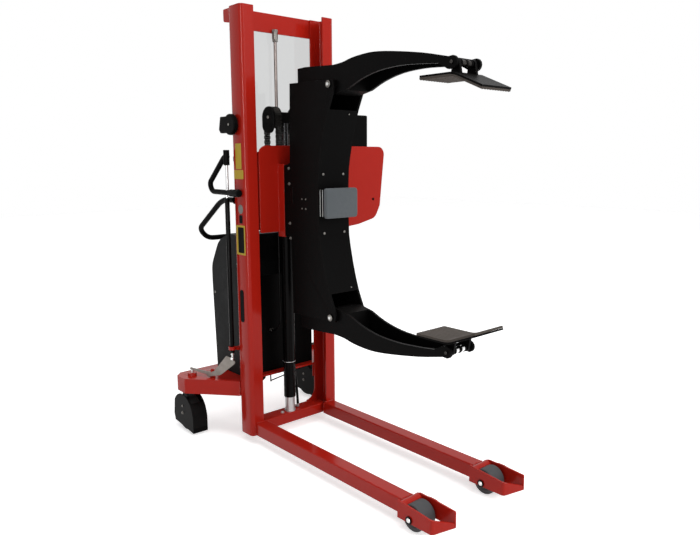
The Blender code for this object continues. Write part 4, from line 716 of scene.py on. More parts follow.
def make_noses():
    """The loop round each load roller: a strip (outer low, outer top, inner top, inner low) carried along the near side
    and the slanted tip, whose top falls along the tip, a straight wall on the far side and a rounded saddle behind."""
    wall, foot, height, fall_along, fall_across = 0.007, 0.0335, 0.0960, 0.0130, 0.034
    for word, _ in SIDES:
        node = word + "_nose"
        low, high = low_high(node)
        centre, half = (low[0] + high[0]) / 2, (high[0] - low[0]) / 2
        rear, front = high[1], low[1]
        bend = front + 0.031
        outer = eased([(-half, rear), (-half, rear - 0.060), (-half, rear - 0.115), (-half, bend),
                       (half - 0.001, front + 0.009)], 0.010, 6)
        inner = eased([(-half + wall, rear), (-half + wall, rear - 0.060), (-half + wall, rear - 0.115),
                       (-half + wall, bend + wall * 0.8), (half - 0.001, front + 0.009 + wall)], 0.010, 6)
        along = np.clip((rear - outer[:, 1]) / (rear - bend), 0, 1)
        across = np.clip((outer[:, 0] + half) / (2 * half), 0, 1)
        top = height - fall_along * along - fall_across * across
        rings = np.zeros((len(outer), 4, 3))
        for k, (line, level) in enumerate(((outer, foot), (outer, top), (inner, top), (inner, foot))):
            rings[:, k, 0], rings[:, k, 1], rings[:, k, 2] = line[:, 0] + centre, line[:, 1], level
        shape = Shape()
        shape.prism(rings)
        side = eased([(rear, foot), (rear, 0.0890), (rear - 0.020, 0.0965), (rear - 0.055, 0.0960),
                      (rear - 0.062, 0.0980), (rear - 0.090, 0.0980), (rear - 0.098, 0.0955),
                      (front + 0.0095, 0.0910), (front + 0.0085, foot)], 0.004, 4, closed=True)
        shape.slab(side, "X", centre + half - wall, centre + half)
        saddle = eased([(rear, foot), (rear, 0.0895), (rear - 0.016, 0.0955), (rear - 0.030, 0.0900),
                        (rear - 0.036, 0.062), (rear - 0.032, foot)], 0.012, 6, closed=True)
        shape.slab(saddle, "X", centre - half + 0.002, centre + half - 0.002)
        shape.piece(node + "_finished", "chassis", *RED, (node,), 0.0014, 3)


def make_brake_lever():
    """The brake lever, cut from plate: an outline (along, up) in the upright plane from the tube to the caster."""
    start, along, across = lever_plane()
    outline = eased([(-0.012, 0.3385), (-0.012, 0.3512), (0.0105, 0.3512), (0.0130, 0.3640), (0.031, 0.3690),
                     (0.097, 0.2915), (0.134, 0.2860), (0.2235, 0.2950), (0.2245, 0.2862), (0.140, 0.2735),
                     (0.1315, 0.2650), (0.1215, 0.2640), (0.106, 0.2690), (0.064, 0.2780)], 0.005, 4,
                    closed=True)
    both = np.stack([start + outline[:, :1] * along + outline[:, 1:] * np.array([0, 0, 1.0]) + offset * across
                     for offset in (-0.0028, 0.0028)])
    lever = Shape()
    lever.prism(both)
    lever.piece("brake_lever_finished", BODY_OF["brake_lever"], "zinc", "lever steel", ("brake_lever",), 0.0009, 2)


def make_guard_trim(word, centre):
    """Bolts on a toe guard's sides, and the flange strips along its foot and its rear edge."""
    low, high = low_high(word + "_toe_guard")
    body = BODY_OF[word + "_toe_guard"]
    bolts, strips = Shape(), Shape()
    for x, axis in ((low[0], "-X"), (high[0], "X")):
        bolt(bolts, (x, centre[1] + 0.002, centre[2] + 0.002), axis, 0.0052)
        bolt(bolts, (x, centre[1] + 0.002, centre[2] + 0.034), axis, 0.0042)
    for offset in (-0.018, 0.018):
        strips.turn(disc(0.0028, 0.0014, 0.0008), "-Y", (centre[0] + offset, low[1], low[2] + 0.012), 18)
    strip = rectangle(low[0] + 0.001, low[1] - 0.0008, high[0] - 0.001, low[1] + 0.002)
    strips.slab(strip, "Z", low[2] + 0.001, low[2] + 0.022)
    bolts.piece(word + "_guard_bolts", body, *DULL_ZINC)
    strips.piece(word + "_guard_strip", body, *BLACK, bevel=0.0005)


def make_cylinder():
    """The lift cylinder with its chain yoke, pipe, feed hose, bright foot, fittings and wiper, and the ram in it."""
    barrel = Shape()
    centre, foot = (0, LIFT_DEPTH, 0), 0.0833
    barrel.turn([(0, 0.150), (0.0255, 0.150), (0.0262, 0.152), (0.0262, 0.302), (0.0270, 0.304), (0.0270, 0.966),
                 (0.0285, 0.970), (0.030, 0.972), (0.030, 0.997), (0.029, 1.0), (0.0182, 1.0),
                 (0.0182, 0.990), (0, 0.990)], "Z", centre, 56)
    barrel.slab(rectangle(-0.079, 0.069, 0.079, 0.0915), "Z", 0.975, 1.0)
    pipe = eased([(-0.020, 0.052, 0.945), (-0.040, 0.052, 0.945), (-0.040, 0.052, 0.490),
                  (-0.046, 0.085, 0.452), (-0.046, 0.1243, 0.452)], 0.018, 8)
    barrel.tube(pipe, 0.0040, 14)
    feed = eased([(0.0225, 0.0500, 0.318), (0.0330, 0.0510, 0.262), (0.0445, 0.0530, 0.160),
                  (0.0485, 0.0540, 0.1000)], 0.040, 8)
    barrel.tube(feed, 0.0060, 14)
    barrel.piece("lift_cylinder_finished", "chassis", *GLOSS_BLACK, ("lift_barrel",), bevel=0.0005)
    bright = Shape()
    bright.turn([(0.0120, foot), (0.0245, foot), (0.0245, foot + 0.006), (0.0218, foot + 0.008),
                 (0.0218, 0.1515), (0.0120, 0.1515), (0.0120, foot)], "Z", centre, 56)
    bright.turn([(0.0265, 0.3135), (0.0288, 0.3140), (0.0288, 0.3160), (0.0265, 0.3165), (0.0265, 0.3135)],
                "Z", centre, 56)
    for x, y in ((-0.043, 0.047), (0.055, 0.070)):
        bolt(bright, (x, y, foot - 0.0004), "Z", 0.0062)
    bright.turn(rectangle(0, 0, 0.0070, 0.013), "Z", (0.0485, 0.0540, 0.0880), 6)
    bright.piece("cylinder_foot", "chassis", *STEEL)
    fittings, wiper = Shape(), Shape()
    fittings.turn([(0, 0), (0.0075, 0), (0.0075, 0.010), (0.006, 0.012), (0, 0.012)], "Z", (-0.040, 0.052, 0.922), 6)
    fittings.turn(rectangle(0, 0, 0.0075, 0.012), "Y", (-0.046, 0.110, 0.452), 6)
    fittings.piece("pipe_fittings", "chassis", *DULL_ZINC)
    wiper.turn([(0.0176, 0), (0.024, 0), (0.0225, 0.004), (0.0177, 0.005), (0.0176, 0)], "Z",
               (0, LIFT_DEPTH, 0.9995), 40)
    wiper.piece("ram_wiper", "chassis", *BLACK_RUBBER)
    ram = Shape()
    low, high = low_high("ram")
    ram.turn([(0, low[2]), (0.0165, low[2]), (0.0175, low[2] + 0.001), (0.0175, high[2]), (0, high[2])],
             "Z", centre, 56)
    # Its dark colour is a painted reflection of the black clamp, on chrome
    ram.piece("ram_finished", BODY_OF["ram"], "chrome", "dark chrome", ("ram",))


def make_sheaves(sizes):
    """The two sheaves, the cheeks beside them and the ends of their shaft."""
    depth, level = LIFT_DEPTH, SHEAVE_LEVEL
    half, bore, groove, flange, cheek = sizes.chain_width / 2 + 0.0035, 0.0106, 0.0388, 0.0445, 0.0438
    for word, side in SIDES:
        place = (side * sizes.chain_side, depth, level)
        rim = eased([(bore, -half), (flange, -half), (flange, -half + 0.002), (groove, -half + 0.0035),
                     (groove, half - 0.0035), (flange, half - 0.002), (flange, half), (bore, half)], 0.0006, 3, True)
        sheave = Shape()
        sheave.turn(rim, "X", place, 72, closed=True)
        sheave.piece(word + "_sheave_finished", BODY_OF[word + "_sheave"], *BLACK, (word + "_sheave",))
    cheeks, ends = Shape(), Shape()
    turn = np.linspace(0, np.pi, 25)
    head = np.stack([depth + cheek * np.cos(turn), level + cheek * np.sin(turn)], axis=1)
    foot = eased([(0.0040, 1.362), (0.0040, 1.333), (0.021, 1.3125), (0.070, 1.3125), (0.0910, 1.333),
                  (0.0910, 1.362)], 0.012, 5)
    outline = np.concatenate([head, foot])
    for sign, axis in ((-1, "-X"), (1, "X")):
        face = sign * (sizes.chain_side + half)
        cheeks.slab(outline, "X", face + sign * 0.0005, face + sign * 0.0043)
        ends.turn([(0, 0), (0.0068, 0), (0.0068, 0.0018), (0.0056, 0.003), (0, 0.003)], axis,
                  (face + sign * 0.0042, depth, level), 32)
    cheeks.piece("sheave_cheeks", BODY_OF["crosshead"], *BLACK, bevel=0.0012, segments=3)
    ends.piece("sheave_shaft_ends", BODY_OF["crosshead"], "steel", "dull zinc")


def make_chains(sizes):
    """The leaf chains: a half circle over the sheaves, and straight runs down to the carriage and to the yoke. The runs
    ride on no body, and are baked where they stand."""
    depth, level, radius = LIFT_DEPTH, SHEAVE_LEVEL, 0.0415
    pitch = sizes.link_pitch
    front_run, rear_run, over = Shape(), Shape(), Shape()
    turn = np.linspace(np.pi, 0, int(round(np.pi * radius / pitch)) + 1)
    for side in (-1, 1):
        x = side * sizes.chain_side
        lay_chain(over, np.stack([np.full_like(turn, x), depth + radius * np.cos(turn),
                                  level + radius * np.sin(turn)], axis=1), sizes)
        for run, place, foot in ((front_run, depth - radius, 0.935), (rear_run, depth + radius, 1.004)):
            z = np.linspace(level, foot, int(round((level - foot) / pitch)) + 1)
            lay_chain(run, np.stack([np.full_like(z, x), np.full_like(z, place), z], axis=1), sizes)
    over.piece("chain_over_sheaves", BODY_OF["near_chain"], *OILED_STEEL, ("near_chain", "far_chain"))
    for run, name, foot in ((front_run, "chain_front_runs", 0.930), (rear_run, "chain_rear_runs", 1.0003)):
        piece = run.piece(name, None, *OILED_STEEL)
        points = [MAST + np.array([0, 0, z]) for z in (foot, 2 * level - foot)]
        if name == "chain_front_runs":
            points.reverse()
        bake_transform(piece)


def make_buffer():
    """The grey buffer with its rounded face, a black plate behind it and two bright shims."""
    low, high = low_high("buffer_pad")
    half, tall = (high[0] - low[0]) / 2, (high[2] - low[2]) / 2
    level = CLAMP_LEVEL
    pad, plate, shims = Shape(), Shape(), Shape()
    corners = rectangle(level - tall, -half, level + tall, half)
    outline = eased(corners, 0.013, 7, closed=True)
    rise = np.array([(0.0, 0.0), (0.0, 0.010), (0.0006, 0.0135), (0.0022, 0.0158), (0.0045, 0.0168), (0.0075, 0.0172)])
    middle_point = outline.mean(axis=0)
    rings = []
    for inset, height in rise:
        scale = 1 - inset / np.array([tall, half])
        ring = middle_point + (outline - middle_point) * scale
        rings.append(np.stack([ring[:, 1], np.full(len(ring), low[1] + 0.0172 - height), ring[:, 0]], axis=1))
    pad.prism(np.stack(rings))
    pad.piece("buffer_finished", "clamp", "grey_rubber", "buffer rubber", ("buffer_pad",))
    inner = eased(corners * [1, 0.90] + np.array([[0.004, 0], [-0.004, 0], [-0.004, 0], [0.004, 0]]), 0.008, 4, True)
    plate.slab(inner, "Y", low[1] + 0.0172, high[1])
    plate.piece("buffer_plate", "clamp", *BLACK, bevel=0.0008)
    for y in (-0.2785, -0.2935):
        shims.slab(rectangle(level - 0.052, -0.0745, level + 0.052, -0.0712), "Y", y, y + 0.0013)
    shims.piece("buffer_shims", "clamp", *ZINC, bevel=0.0004)


def make_crosshead():
    """The crosshead, turned down to its shaft where the sheaves run: a ring (radius, distance) is taken from it."""
    mesh = merged("crosshead")
    for sign in (-1, 1):
        ring = Shape()
        ring.turn(rectangle(0.0102, sign * 0.0425, 0.070, sign * 0.0795), "X", (0, LIFT_DEPTH, SHEAVE_LEVEL), 64,
                  closed=True)
        mesh = cut_away(mesh, ring.mesh("sheave space"))
    placed(mesh, "crosshead_finished", BODY_OF["crosshead"], *BLACK, ("crosshead",), 0.0022, 3)


def make_red_frame(sizes):
    """The painted frame with its rounded edges, and the weld beads where its parts meet."""
    edge = sizes.edge
    for node, width in (("near_column", edge), ("far_column", edge), ("near_leg", 0.003), ("far_leg", 0.003),
                        ("crossbar", 0.003), ("top_beam", edge), ("carriage", edge * 1.2), ("wing_plate", edge * 1.2)):
        dressed(node, *RED, width, 3)
    make_base_plate(sizes)
    make_noses()
    dressed("guide_eye", *RED, 0.0010, 2)
    welds = Shape()
    size = sizes.weld
    for word, side in SIDES:
        low, high = low_high(word + "_leg")
        for x in (low[0], high[0]):
            bead(welds, (x, high[1] + 0.001, low[2] + 0.004), (x, high[1] + 0.001, high[2] - 0.003), size)
        bead(welds, (low[0] + 0.003, high[1] + 0.001, high[2]), (high[0] - 0.003, high[1] + 0.001, high[2]), size)
        rear = low[1] - 0.0005
        for x in (low[0], high[0]):
            bead(welds, (x, rear, low[2] + 0.003), (x, rear, high[2] - 0.010), size)
        bead(welds, (low[0] + 0.003, rear, high[2] - 0.001), (high[0] - 0.003, rear, high[2] - 0.001), size * 0.8)
        inner, outer = side * 0.1737, side * 0.232
        bar_low, bar_high = low_high("crossbar")
        bead(welds, (inner, bar_low[1] + 0.004, bar_high[2]), (inner, bar_high[1] - 0.004, bar_high[2]), size)
        bead(welds, (inner, bar_low[1], bar_low[2] + 0.004), (inner, bar_low[1], bar_high[2] - 0.004), size)
        plate_low = low_high("base_plate")[0]
        bead(welds, (outer, COLUMN_REAR, plate_low[2] + 0.062), (outer, COLUMN_REAR, plate_low[2] + 0.004), size)
        bead(welds, (side * 0.180, COLUMN_REAR, 0.260), (side * 0.225, COLUMN_REAR, 0.260), size)
    welds.piece("weld_beads", "chassis", *RED)


class STACKER_OT_red_frame(bpy.types.Operator):
    """Paint the mast, legs, base and carriage, and lay their weld beads"""

    bl_idname = "stacker.red_frame"
    bl_label = "Red frame"

    def execute(self, context):
        make_red_frame(context.scene.stacker_sizes)
        return {"FINISHED"}


def make_load_rollers():
    """Each load roller's tyre and hub, its axle with soft ends and the clips on the axle."""
    for word, _ in SIDES:
        node, axle_node = word + "_load_roller", word + "_load_axle"
        centre, radius, half = round_size(node)
        tyre, hub = Shape(), Shape()
        profile = eased(rectangle(radius * 0.62, -half + 0.003, radius, half - 0.003), 0.006, 6, closed=True)
        tyre.turn(profile, "X", centre, 72, closed=True)
        tyre.piece(word + "_roller_tyre", BODY_OF[node], "grey_rubber", "roller tyre", (node,))
        profile = eased([(0.0115, -half), (radius * 0.5, -half), (radius * 0.5, -half + 0.0015),
                         (radius * 0.63, -half + 0.0035), (radius * 0.63, half - 0.0035), (radius * 0.5, half - 0.0015),
                         (radius * 0.5, half), (0.0115, half)], 0.001, 3, closed=True)
        hub.turn(profile, "X", centre, 48, closed=True)
        hub.piece(word + "_roller_hub", BODY_OF[node], *OILED_STEEL)
        axle, clip = Shape(), Shape()
        centre, _, reach = round_size(axle_node)
        head = [(0, reach), (0.0070, reach), (0.0082, reach - 0.0010), (0.0082, reach - 0.0050)]
        line = head + [(r, -d) for r, d in reversed(head)]
        axle.turn(line, "X", centre, 40)
        axle.piece(word + "_axle_finished", "chassis", "steel", "zinc", (axle_node,))
        for end in (-1, 1):
            place = centre + np.array([end * (reach - 0.0030), 0, 0])
            clip.turn([(0.0080, -0.0022), (0.0130, -0.0022), (0.0130, 0.0010), (0.0115, 0.0020),
                       (0.0080, 0.0020), (0.0080, -0.0022)], "X", place, 40)
        clip.piece(word + "_axle_clips", "chassis", "steel", "gloss black")


class STACKER_OT_load_rollers(bpy.types.Operator):
    """Make the load rollers with their tyres, hubs, axles and clips"""

    bl_idname = "stacker.load_rollers"
    bl_label = "Load rollers"

    def execute(self, context):
        make_load_rollers()
        return {"FINISHED"}


def make_casters():
    """The casters' tyres and hubs, their forks and toe guards, the far hub's bolt and the pegs under the base."""
    for word, _ in SIDES:
        wheel = word + "_caster_wheel"
        centre, radius, half = round_size(wheel)
        tyre, hub = Shape(), Shape()
        profile = eased([(radius * 0.66, -half + 0.004), (radius * 0.74, -half), (radius - 0.004, -half),
                         (radius, -half + 0.010), (radius, half - 0.010), (radius - 0.004, half),
                         (radius * 0.74, half), (radius * 0.66, half - 0.004)], 0.004, 4, closed=True)
        tyre.turn(profile, "X", centre, 80, closed=True)
        tyre.piece(word + "_caster_tyre", BODY_OF[wheel], *BLACK_RUBBER, (wheel,))
        profile = eased([(0.0095, -half), (radius * 0.26, -half), (radius * 0.29, -half + 0.009),
                         (radius * 0.58, -half + 0.009), (radius * 0.67, -half + 0.003), (radius * 0.67, half - 0.003),
                         (radius * 0.58, half - 0.009), (radius * 0.29, half - 0.009), (radius * 0.26, half),
                         (0.0095, half)], 0.002, 3, closed=True)
        hub.turn(profile, "X", centre, 64, closed=True)
        hub.piece(word + "_caster_hub", BODY_OF[wheel], *COVER)
        dressed(word + "_caster_fork", *BLACK, 0.0012, 2)
        dressed(word + "_toe_guard", "black_paint", "guard enamel", 0.0011, 3)
        make_guard_trim(word, centre)
    hub, peg = Shape(), Shape()
    bolt(hub, (*CASTER, 0.272), "Z", 0.0085)
    hub.piece("hub_bolts", "chassis", *DULL_ZINC)
    for x in (-0.386, 0.386):
        peg.turn(disc(0.006, 0.016, 0.001), "-Z", (x, 0.290, 0.196), 20)
    peg.piece("base_pegs", "chassis", *BLACK_RUBBER)


class STACKER_OT_casters(bpy.types.Operator):
    """Make the caster wheels, and finish their forks, toe guards and bolts"""

    bl_idname = "stacker.casters"
    bl_label = "Casters"

    def execute(self, context):
        make_casters()
        return {"FINISHED"}


def make_push_bar():
    """The push bar, a tube bent in a plane that leans back, with a foot at each end."""
    bar = Shape()
    side, front, level = 0.222, COLUMN_REAR, 1.038
    half = [(side, front, level), (side, 0.200, level), (side, 0.4095, 0.896), (side - 0.045, 0.4190, 0.850)]
    corners = np.array([(-x, y, z) for x, y, z in half] + [(x, y, z) for x, y, z in reversed(half)])
    bar.tube(eased(corners, 0.060, 8), 0.0116, 20)
    for sign in (-1, 1):
        bar.turn([(0, 0), (0.017, 0), (0.017, 0.0035), (0.0118, 0.0075), (0, 0.0075)], "Y",
                 (sign * side, front, level), 32)
    bar.piece("push_bar_finished", "chassis", *BLACK, ("push_bar",))


def make_brake_handle():
    """The brake handle, a bent tube with a grip and a hub on its pivot, and the bright rod that it pulls."""
    handle = Shape()
    x, level = BRAKE_TUBE[0], 1.069
    corners = np.array([(x, 0.032, level), (x, 0.232, level + 0.002), (x, 0.252, level + 0.036),
                        (x, 0.126, level + 0.146), (x, 0.102, level + 0.148)])
    handle.tube(eased(corners, 0.034, 8), 0.0110, 20)
    handle.turn([(0, 0.112), (0.0115, 0.112), (0.0125, 0.1135), (0.0125, 0.1725), (0.0115, 0.174), (0, 0.174)],
                "Z", (x, 0.110, level), 32)
    handle.turn([(0, 0.020), (0.0125, 0.020), (0.0150, 0.023), (0.0150, 0.084), (0.0140, 0.088), (0, 0.088)],
                "Y", (x, 0, level), 32)
    handle.turn([(0, 0.2353), (0.0145, 0.2353), (0.0155, 0.2368), (0.0155, 0.2600), (0.0145, 0.2620),
                 (0, 0.2620)], "-X", (0, 0.045, level), 36)
    handle.piece("brake_handle_finished", BODY_OF["brake_handle"], *BLACK, ("brake_handle",))
    link = Shape()
    link.turn([(0, 0.009), (0.0056, 0.009), (0.0060, 0.011), (0.0060, 0.113), (0, 0.113)], "Z", (x, 0.110, level), 24)
    link.turn([(0, 0), (0.0045, 0), (0.0045, 0.0020), (0.0035, 0.0030), (0, 0.0030)], "-X", (-0.2620, 0.045, level), 6)
    link.piece("handle_link_rod", BODY_OF["brake_handle"], *STEEL)


def make_brake_rod():
    """The brake tube, the threaded rod, nut and ball at its ends, and the plunger under the lever."""
    rod_low, rod_high = low_high("brake_tube")
    tube, rod = Shape(), Shape()
    centre = (middle("brake_tube")[0], BRAKE_TUBE[1], 0)
    tube.turn([(0, rod_low[2] + 0.034), (0.0085, rod_low[2] + 0.034), (0.0100, rod_low[2] + 0.0365),
               (0.0100, rod_high[2] - 0.0135), (0.0085, rod_high[2] - 0.011), (0, rod_high[2] - 0.011)],
              "Z", centre, 28)
    tube.piece("brake_tube_finished", BODY_OF["brake_tube"], *GLOSS_BLACK, ("brake_tube",))
    share = np.linspace(0, 1, 90)
    thread = 0.0046 + 0.00035 * np.cos(2 * np.pi * share * 24)
    rod.turn(np.stack([np.r_[0, thread, 0], np.r_[rod_low[2], rod_low[2] + share * 0.040,
                                                  rod_low[2] + 0.040]], axis=1), "Z", centre, 20)
    rod.turn(rectangle(0, rod_high[2] - 0.012, 0.0048, rod_high[2]), "Z", centre, 20)
    rod.turn(rectangle(0, 0, 0.0078, 0.005), "Z", (*centre[:2], rod_low[2] + 0.026), 6)
    turn = np.linspace(-np.pi / 2, np.pi / 2, 13)
    rod.turn(np.stack([0.0078 * np.cos(turn), 0.0078 * np.sin(turn)], axis=1), "Z",
             (centre[0] - 0.004, centre[1] - 0.002, rod_low[2] + 0.0085), 24)
    rod.piece("brake_rod_ends", BODY_OF["brake_tube"], *ZINC)
    make_brake_lever()
    pin = Shape()
    low, high = low_high("brake_plunger")
    centre = middle("brake_plunger")
    pin.turn([(0, low[2]), (0.005, low[2]), (0.006, low[2] + 0.001), (0.006, high[2] - 0.0022),
              (0.0045, high[2] - 0.0004), (0, high[2])], "Z", (centre[0], centre[1], 0), 28)
    pin.piece("brake_plunger_finished", BODY_OF["brake_plunger"], *STEEL, ("brake_plunger",))


class STACKER_OT_handles(bpy.types.Operator):
    """Make the push bar, the brake handle, its tube and its linkage"""

    bl_idname = "stacker.handles"
    bl_label = "Handles and brake"

    def execute(self, context):
        make_push_bar()
        make_brake_handle()
        make_brake_rod()
        return {"FINISHED"}


def make_lift_control():
    """The lift control's rounded lever, the round base behind it and the end of its bolt."""
    dressed("control_lever", *BLACK, 0.0040, 4)
    base, head = Shape(), Shape()
    x, y, z = -0.2353, 0.066, 1.343
    base.turn([(0, 0), (0.0285, 0), (0.0294, 0.0008), (0.0294, 0.0052), (0.0285, 0.0060), (0.006, 0.0060),
               (0.006, 0.0265), (0, 0.0265)], "-X", (x, y, z), 40)
    base.piece("control_base_finished", "chassis", "zinc", "oiled steel", ("control_base",))
    head.turn([(0, 0.0265), (0.0050, 0.0265), (0.0050, 0.0290), (0.0040, 0.0300), (0, 0.0300)], "-X", (x, y, z), 24)
    head.piece("control_bolt", "chassis", *DULL_ZINC)


class STACKER_OT_lift_control(bpy.types.Operator):
    """Finish the lift control's lever, base and bolt"""

    bl_idname = "stacker.lift_control"
    bl_label = "Lift control"

    def execute(self, context):
        make_lift_control()
        return {"FINISHED"}


def make_power_pack():
    """The cover with its screws and vents, the panel, the ribbed pump motor and the battery with its posts."""
    dressed("rear_cover", *COVER, 0.006, 4, 24.0)
    dressed("front_panel", *BLACK, 0.0008, 2)
    dressed("battery", *COVER, 0.0015, 2)
    low, high = low_high("rear_cover")
    trim, screws = Shape(), Shape()
    for x, axis in ((low[0], "-X"), (high[0], "X")):
        for y, z in ((0.344, 0.611), (0.150, 0.300), (0.150, 0.760)):
            screws.turn(disc(0.0055, 0.0018, 0.0010), axis, (x, y, z), 24)
            screws.turn([(0.0024, 0.0016), (0.0024, 0.0021), (0, 0.0021)], axis, (x, y, z), 6)
    screws.piece("cover_screws", "chassis", *DULL_ZINC)
    for i in range(7):
        z = 0.600 + i * 0.016
        slot = eased(rectangle(z - 0.004, -0.060, z + 0.004, 0.060), 0.003, 3, True)
        trim.slab(slot, "Y", high[1] - 0.002, high[1])
    trim.piece("cover_vents", "chassis", *BLACK, bevel=0.0008)
    motor = Shape()
    low, high = low_high("pump_motor")
    centre = (middle("pump_motor")[0], middle("pump_motor")[1], 0)
    share = np.linspace(0, 1, 120)
    radii = 0.0545 - 0.0012 * (np.cos(2 * np.pi * share * 20) > 0.4)
    body = np.stack([radii, low[2] + 0.012 + share * (high[2] - low[2] - 0.086)], axis=1)
    profile = np.concatenate([[(0, low[2]), (0.043, low[2]), (0.0535, low[2] + 0.010)], body,
                              [(0.050, high[2] - 0.070), (0.030, high[2] - 0.060), (0.030, high[2] - 0.003),
                               (0.027, high[2]), (0, high[2])]])
    motor.turn(profile, "Z", centre, 48)
    motor.piece("pump_motor_finished", "chassis", *BLACK, ("pump_motor",))
    posts = Shape()
    low, high = low_high("battery")
    for x in (low[0] + 0.030, high[0] - 0.030):
        posts.turn(disc(0.009, 0.014, 0.0012), "Z", (x, (low[1] + high[1]) / 2, high[2] - 0.001), 24)
    posts.piece("battery_posts", "chassis", *ZINC)


class STACKER_OT_power_pack(bpy.types.Operator):
    """Finish the cover, panel, pump motor and battery"""

    bl_idname = "stacker.power_pack"
    bl_label = "Power pack"

    def execute(self, context):
        make_power_pack()
        return {"FINISHED"}


def link_outline(length, height):
    """A link plate: two round ends joined by straight sides, as u along and v across."""
    turn = np.linspace(-np.pi / 2, np.pi / 2, 5)
    right = np.stack([length / 2 + height / 2 * np.cos(turn), height / 2 * np.sin(turn)], axis=1)
    return np.concatenate([right, -right])


def lay_chain(shape, pins, sizes):
    """Link plates between the pins of a path, in turn one lace and the other. Their centres are halfway between two
    pins, and their direction is the difference of the two."""
    outline = link_outline(np.linalg.norm(pins[1] - pins[0]), sizes.link_height)
    centre, along = (pins[1:] + pins[:-1]) / 2, unit(pins[1:] - pins[:-1])
    sideways = np.broadcast_to([1.0, 0, 0], along.shape)
    across = np.cross(sideways, along)
    even = np.arange(len(centre)) % 2 == 0
    plate, pin, count = 0.0012, 0.0014, 9
    laces = np.linspace(-1, 1, count) * (sizes.chain_width / 2 - 0.0018)
    for i, offset in enumerate(laces):
        rows = even if i % 2 == 0 else ~even
        frames = np.stack([centre + sideways * offset, along, across, sideways], axis=1)[rows]
        shape.plates(outline, frames, plate)
    reach = sizes.chain_width / 2
    for place in pins:
        shape.turn(rectangle(0, -reach, pin, reach), "X", place, 8)


def make_lift_gear(sizes):
    """The cylinder, crosshead, guide rod with its nuts, sheaves, chains and the carriage's rollers."""
    make_cylinder()
    make_crosshead()
    guide, nuts = Shape(), Shape()
    low, high = low_high("guide_rod")
    centre = ((low[0] + high[0]) / 2, (low[1] + high[1]) / 2, 0)
    guide.turn([(0, low[2]), (0.0066, low[2]), (0.0066, high[2] - 0.001), (0, high[2])], "Z", centre, 32)
    guide.piece("guide_rod_finished", "chassis", "chrome", "worn chrome", ("guide_rod",))
    for z, radius, height in ((1.6880, 0.0125, 0.010), (1.6975, 0.0118, 0.0300), (1.7265, 0.0135, 0.010)):
        sides = 6 if radius > 0.012 else 28
        nuts.turn(rectangle(0.0062, 0, radius, height), "Z", (centre[0], centre[1], z), sides, closed=True)
    nuts.piece("guide_rod_nuts", "chassis", *DULL_ZINC, bevel=0.0006)
    make_sheaves(sizes)
    make_chains(sizes)
    for word, _ in SIDES:
        for place in ("lower", "upper"):
            node = f"{word}_{place}_roller"
            centre, radius, half = round_size(node)
            roller = Shape()
            rim = eased([(0.0116, -half), (radius - 0.002, -half), (radius, -half + 0.003), (radius, half - 0.003),
                         (radius - 0.002, half), (0.0116, half)], 0.0015, 3, True)
            roller.turn(rim, "X", centre, 56, closed=True)
            roller.piece(node + "_finished", BODY_OF[node], *STEEL, (node,))


class STACKER_OT_lift_gear(bpy.types.Operator):
    """Make the cylinder, ram, sheaves, leaf chains, guide rod and carriage rollers"""

    bl_idname = "stacker.lift_gear"
    bl_label = "Lift gear"

    def execute(self, context):
        make_lift_gear(context.scene.stacker_sizes)
        return {"FINISHED"}


